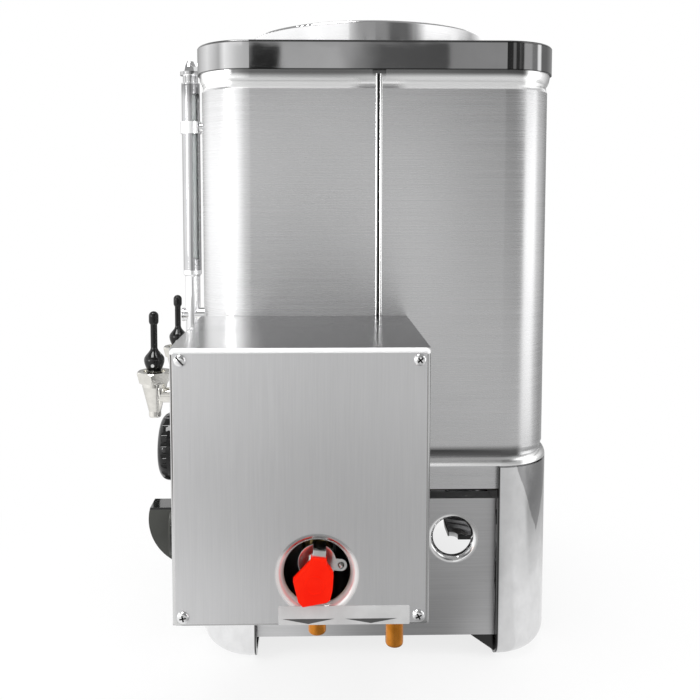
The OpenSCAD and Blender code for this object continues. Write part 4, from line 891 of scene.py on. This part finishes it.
TANK_LOW_BAND = [
    (-180, 0.1), (-150, 0.6), (-110, 1.6), (-56, 1.9), (-34, 1.9), (-22, 1.1), (-14, 0.7), (-8, 0.5),
    (3, 0.45), (5, 0.6), (6, 1.05), (8, 1.05), (10, 0.8), (13, 0.6), (40, 0.5), (56, 0.45), (64, 1.7),
    (88, 1.9), (98, 1.0), (130, 0.4), (180, 0.1)]
TANK_HIGH_BAND = [
    (-180, 0.1), (-150, 0.6), (-110, 1.6), (-56, 1.9), (-34, 1.9), (-22, 1.3), (-14, 1.05), (0, 0.95),
    (8, 0.95), (11, 0.8), (13, 0.5), (40, 0.4), (56, 0.4), (64, 1.7), (88, 1.9), (98, 1.0), (130, 0.4),
    (180, 0.1)]
RIM_BAND = [
    (-180, 0.3), (-150, 0.4), (-102, 0.9), (-70, 0.5), (-57, 1.0), (-31, 0.65), (-10, 0.5), (-6.5, 0.3),
    (-6, 0.02), (-4, 0.02), (-3.6, 0.42), (1.4, 0.44), (3, 0.25), (5, 0.1), (10.6, 0.08), (11, 0.25),
    (17.2, 0.28), (17.5, 0.02), (26.5, 0.03), (28, 0.15), (32, 0.15), (34, 0.03), (48, 0.03), (51, 0.35),
    (66, 0.35), (70, 0.2), (80, 0.2), (84, 0.9), (90, 0.9), (94, 0.15), (112, 0.15), (140, 0.3), (180, 0.3)]
LID_BAND = [
    (-180, 1.3), (-30, 1.3), (-16, 0.6), (-11, 0.4), (4, 0.35), (14, 0.3), (20, 0.15), (34, 0.15),
    (43, 0.4), (54, 1.4), (76, 1.4), (100, 0.95), (112, 0.6), (135, 1.3), (180, 1.3)]
# Painted shade: the floor board mirrors near black under the urn
SHADE_UNDER_URN = [(-180, 0.01), (180, 0.01)]
NEAR_BAND = [
    (-180, 0.5), (-120, 0.9), (-60, 1.0), (-24, 0.9), (-12, 0.6), (0, 0.35), (8, 0.3), (20, 0.3), (30, 0.7),
    (58, 0.85), (80, 0.85), (110, 0.6), (150, 0.4), (180, 0.5)]
MIDWAY_BAND = [
    (-180, 0.6), (-60, 1.0), (-24, 0.95), (-12, 0.6), (0, 0.4), (6, 0.5), (28, 0.55), (40, 0.65),
    (58, 0.65), (64, 0.35), (110, 0.35), (125, 0.5), (150, 0.5), (180, 0.6)]
FAR_BAND = [
    (-180, 0.6), (-60, 1.2), (-24, 0.85), (-12, 0.5), (1, 0.35), (5, 0.65), (28, 0.65), (50, 0.6),
    (58, 1.3), (78, 1.4), (90, 0.7), (110, 0.4), (150, 0.4), (180, 0.6)]
CEILING_BAND = [(-180, 0.38), (0, 0.32), (180, 0.38)]
WINDOW_BAND = [(-180, TOP_LEVEL), (180, TOP_LEVEL)]


def make_wall():
    """Round wall of greys, with other bands beside the rim and the lid."""
    r, n = BOARD_REACH, WALL_SIDES
    ring = [(r * math.cos(2 * math.pi * k / n), r * math.sin(2 * math.pi * k / n)) for k in range(n)]
    verts = [(x, y, BOARD_LOW) for x, y in ring] + [(x, y, BOARD_TOP) for x, y in ring]
    faces = [(k, k + n, (k + 1) % n + n, (k + 1) % n) for k in range(n)]
    board("reflection_wall", verts, faces, TANK_LOW_BAND, [
        (0.15, 0.65, TANK_HIGH_BAND), (0.97, 1.00, RIM_BAND), (1.19, 1.22, LID_BAND)])


def make_boards():
    make_wall()
    board("reflection_floor", square_verts(BOARD_REACH, JUST_OVER_FLOOR), SQUARE, SHADE_UNDER_URN, [
        (0.17, 0.20, NEAR_BAND), (0.30, 0.70, MIDWAY_BAND), (0.85, 1.05, FAR_BAND)], rings=True)
    board("reflection_ceiling", square_verts(BOARD_REACH, BOARD_TOP), SQUARE, CEILING_BAND)
    board("reflection_window", ROOF_WINDOW, SQUARE, WINDOW_BAND, gain=7)
    a, b = (math.radians(bearing) for bearing in SIDE_WINDOW_BEARINGS)
    low, high = SIDE_WINDOW_HEIGHTS
    r = SIDE_WINDOW_REACH
    corners = ((a, low), (b, low), (b, high), (a, high))
    side_window = [(r * math.cos(t), r * math.sin(t), z) for t, z in corners]
    board("reflection_side_window", side_window, SQUARE, WINDOW_BAND, gain=9)


def make_world():
    """White where it is seen, dimmer where it only lights."""
    world = bpy.data.worlds.new("studio")
    world.use_nodes = True
    scene.world = world
    w = Wiring(world.node_tree)
    seen = w.add("ShaderNodeBackground", {0: WHITE, 1: 1.0}).outputs[0]
    soft = w.add("ShaderNodeBackground", {0: WHITE, 1: SOFT_LIGHT}).outputs[0]
    path = w.add("ShaderNodeLightPath").outputs
    shown = w.maths("MAXIMUM", w.maths("MAXIMUM", path["Is Camera Ray"], path["Is Glossy Ray"]),
                    path["Is Transmission Ray"])
    mixed = w.add("ShaderNodeMixShader", {0: shown, 1: soft, 2: seen}).outputs[0]
    w.add("ShaderNodeOutputWorld", {0: mixed})


def lamp(name, place, aim, size, power):
    data = bpy.data.lights.new(name, "AREA")
    data.shape = "RECTANGLE"
    data.size, data.size_y = size
    data.energy = power
    obj = bpy.data.objects.new(name, data)
    scene.collection.objects.link(obj)
    obj.location = place
    obj.rotation_euler = (Vector(aim) - Vector(place)).to_track_quat("-Z", "Y").to_euler()
    obj.visible_glossy = False


make_floor()
make_boards()
make_world()
lamp("lamp_left", (1.0, -1.7, 1.5), (0, 0, 0.35), (1.0, 1.4), 18)
lamp("lamp_right", (0.9, 1.8, 1.3), (0, 0, 0.35), (1.0, 1.4), 14)
lamp("lamp_above", (0.1, 0.0, 2.3), (0, 0, 0.4), (1.6, 1.6), 22)
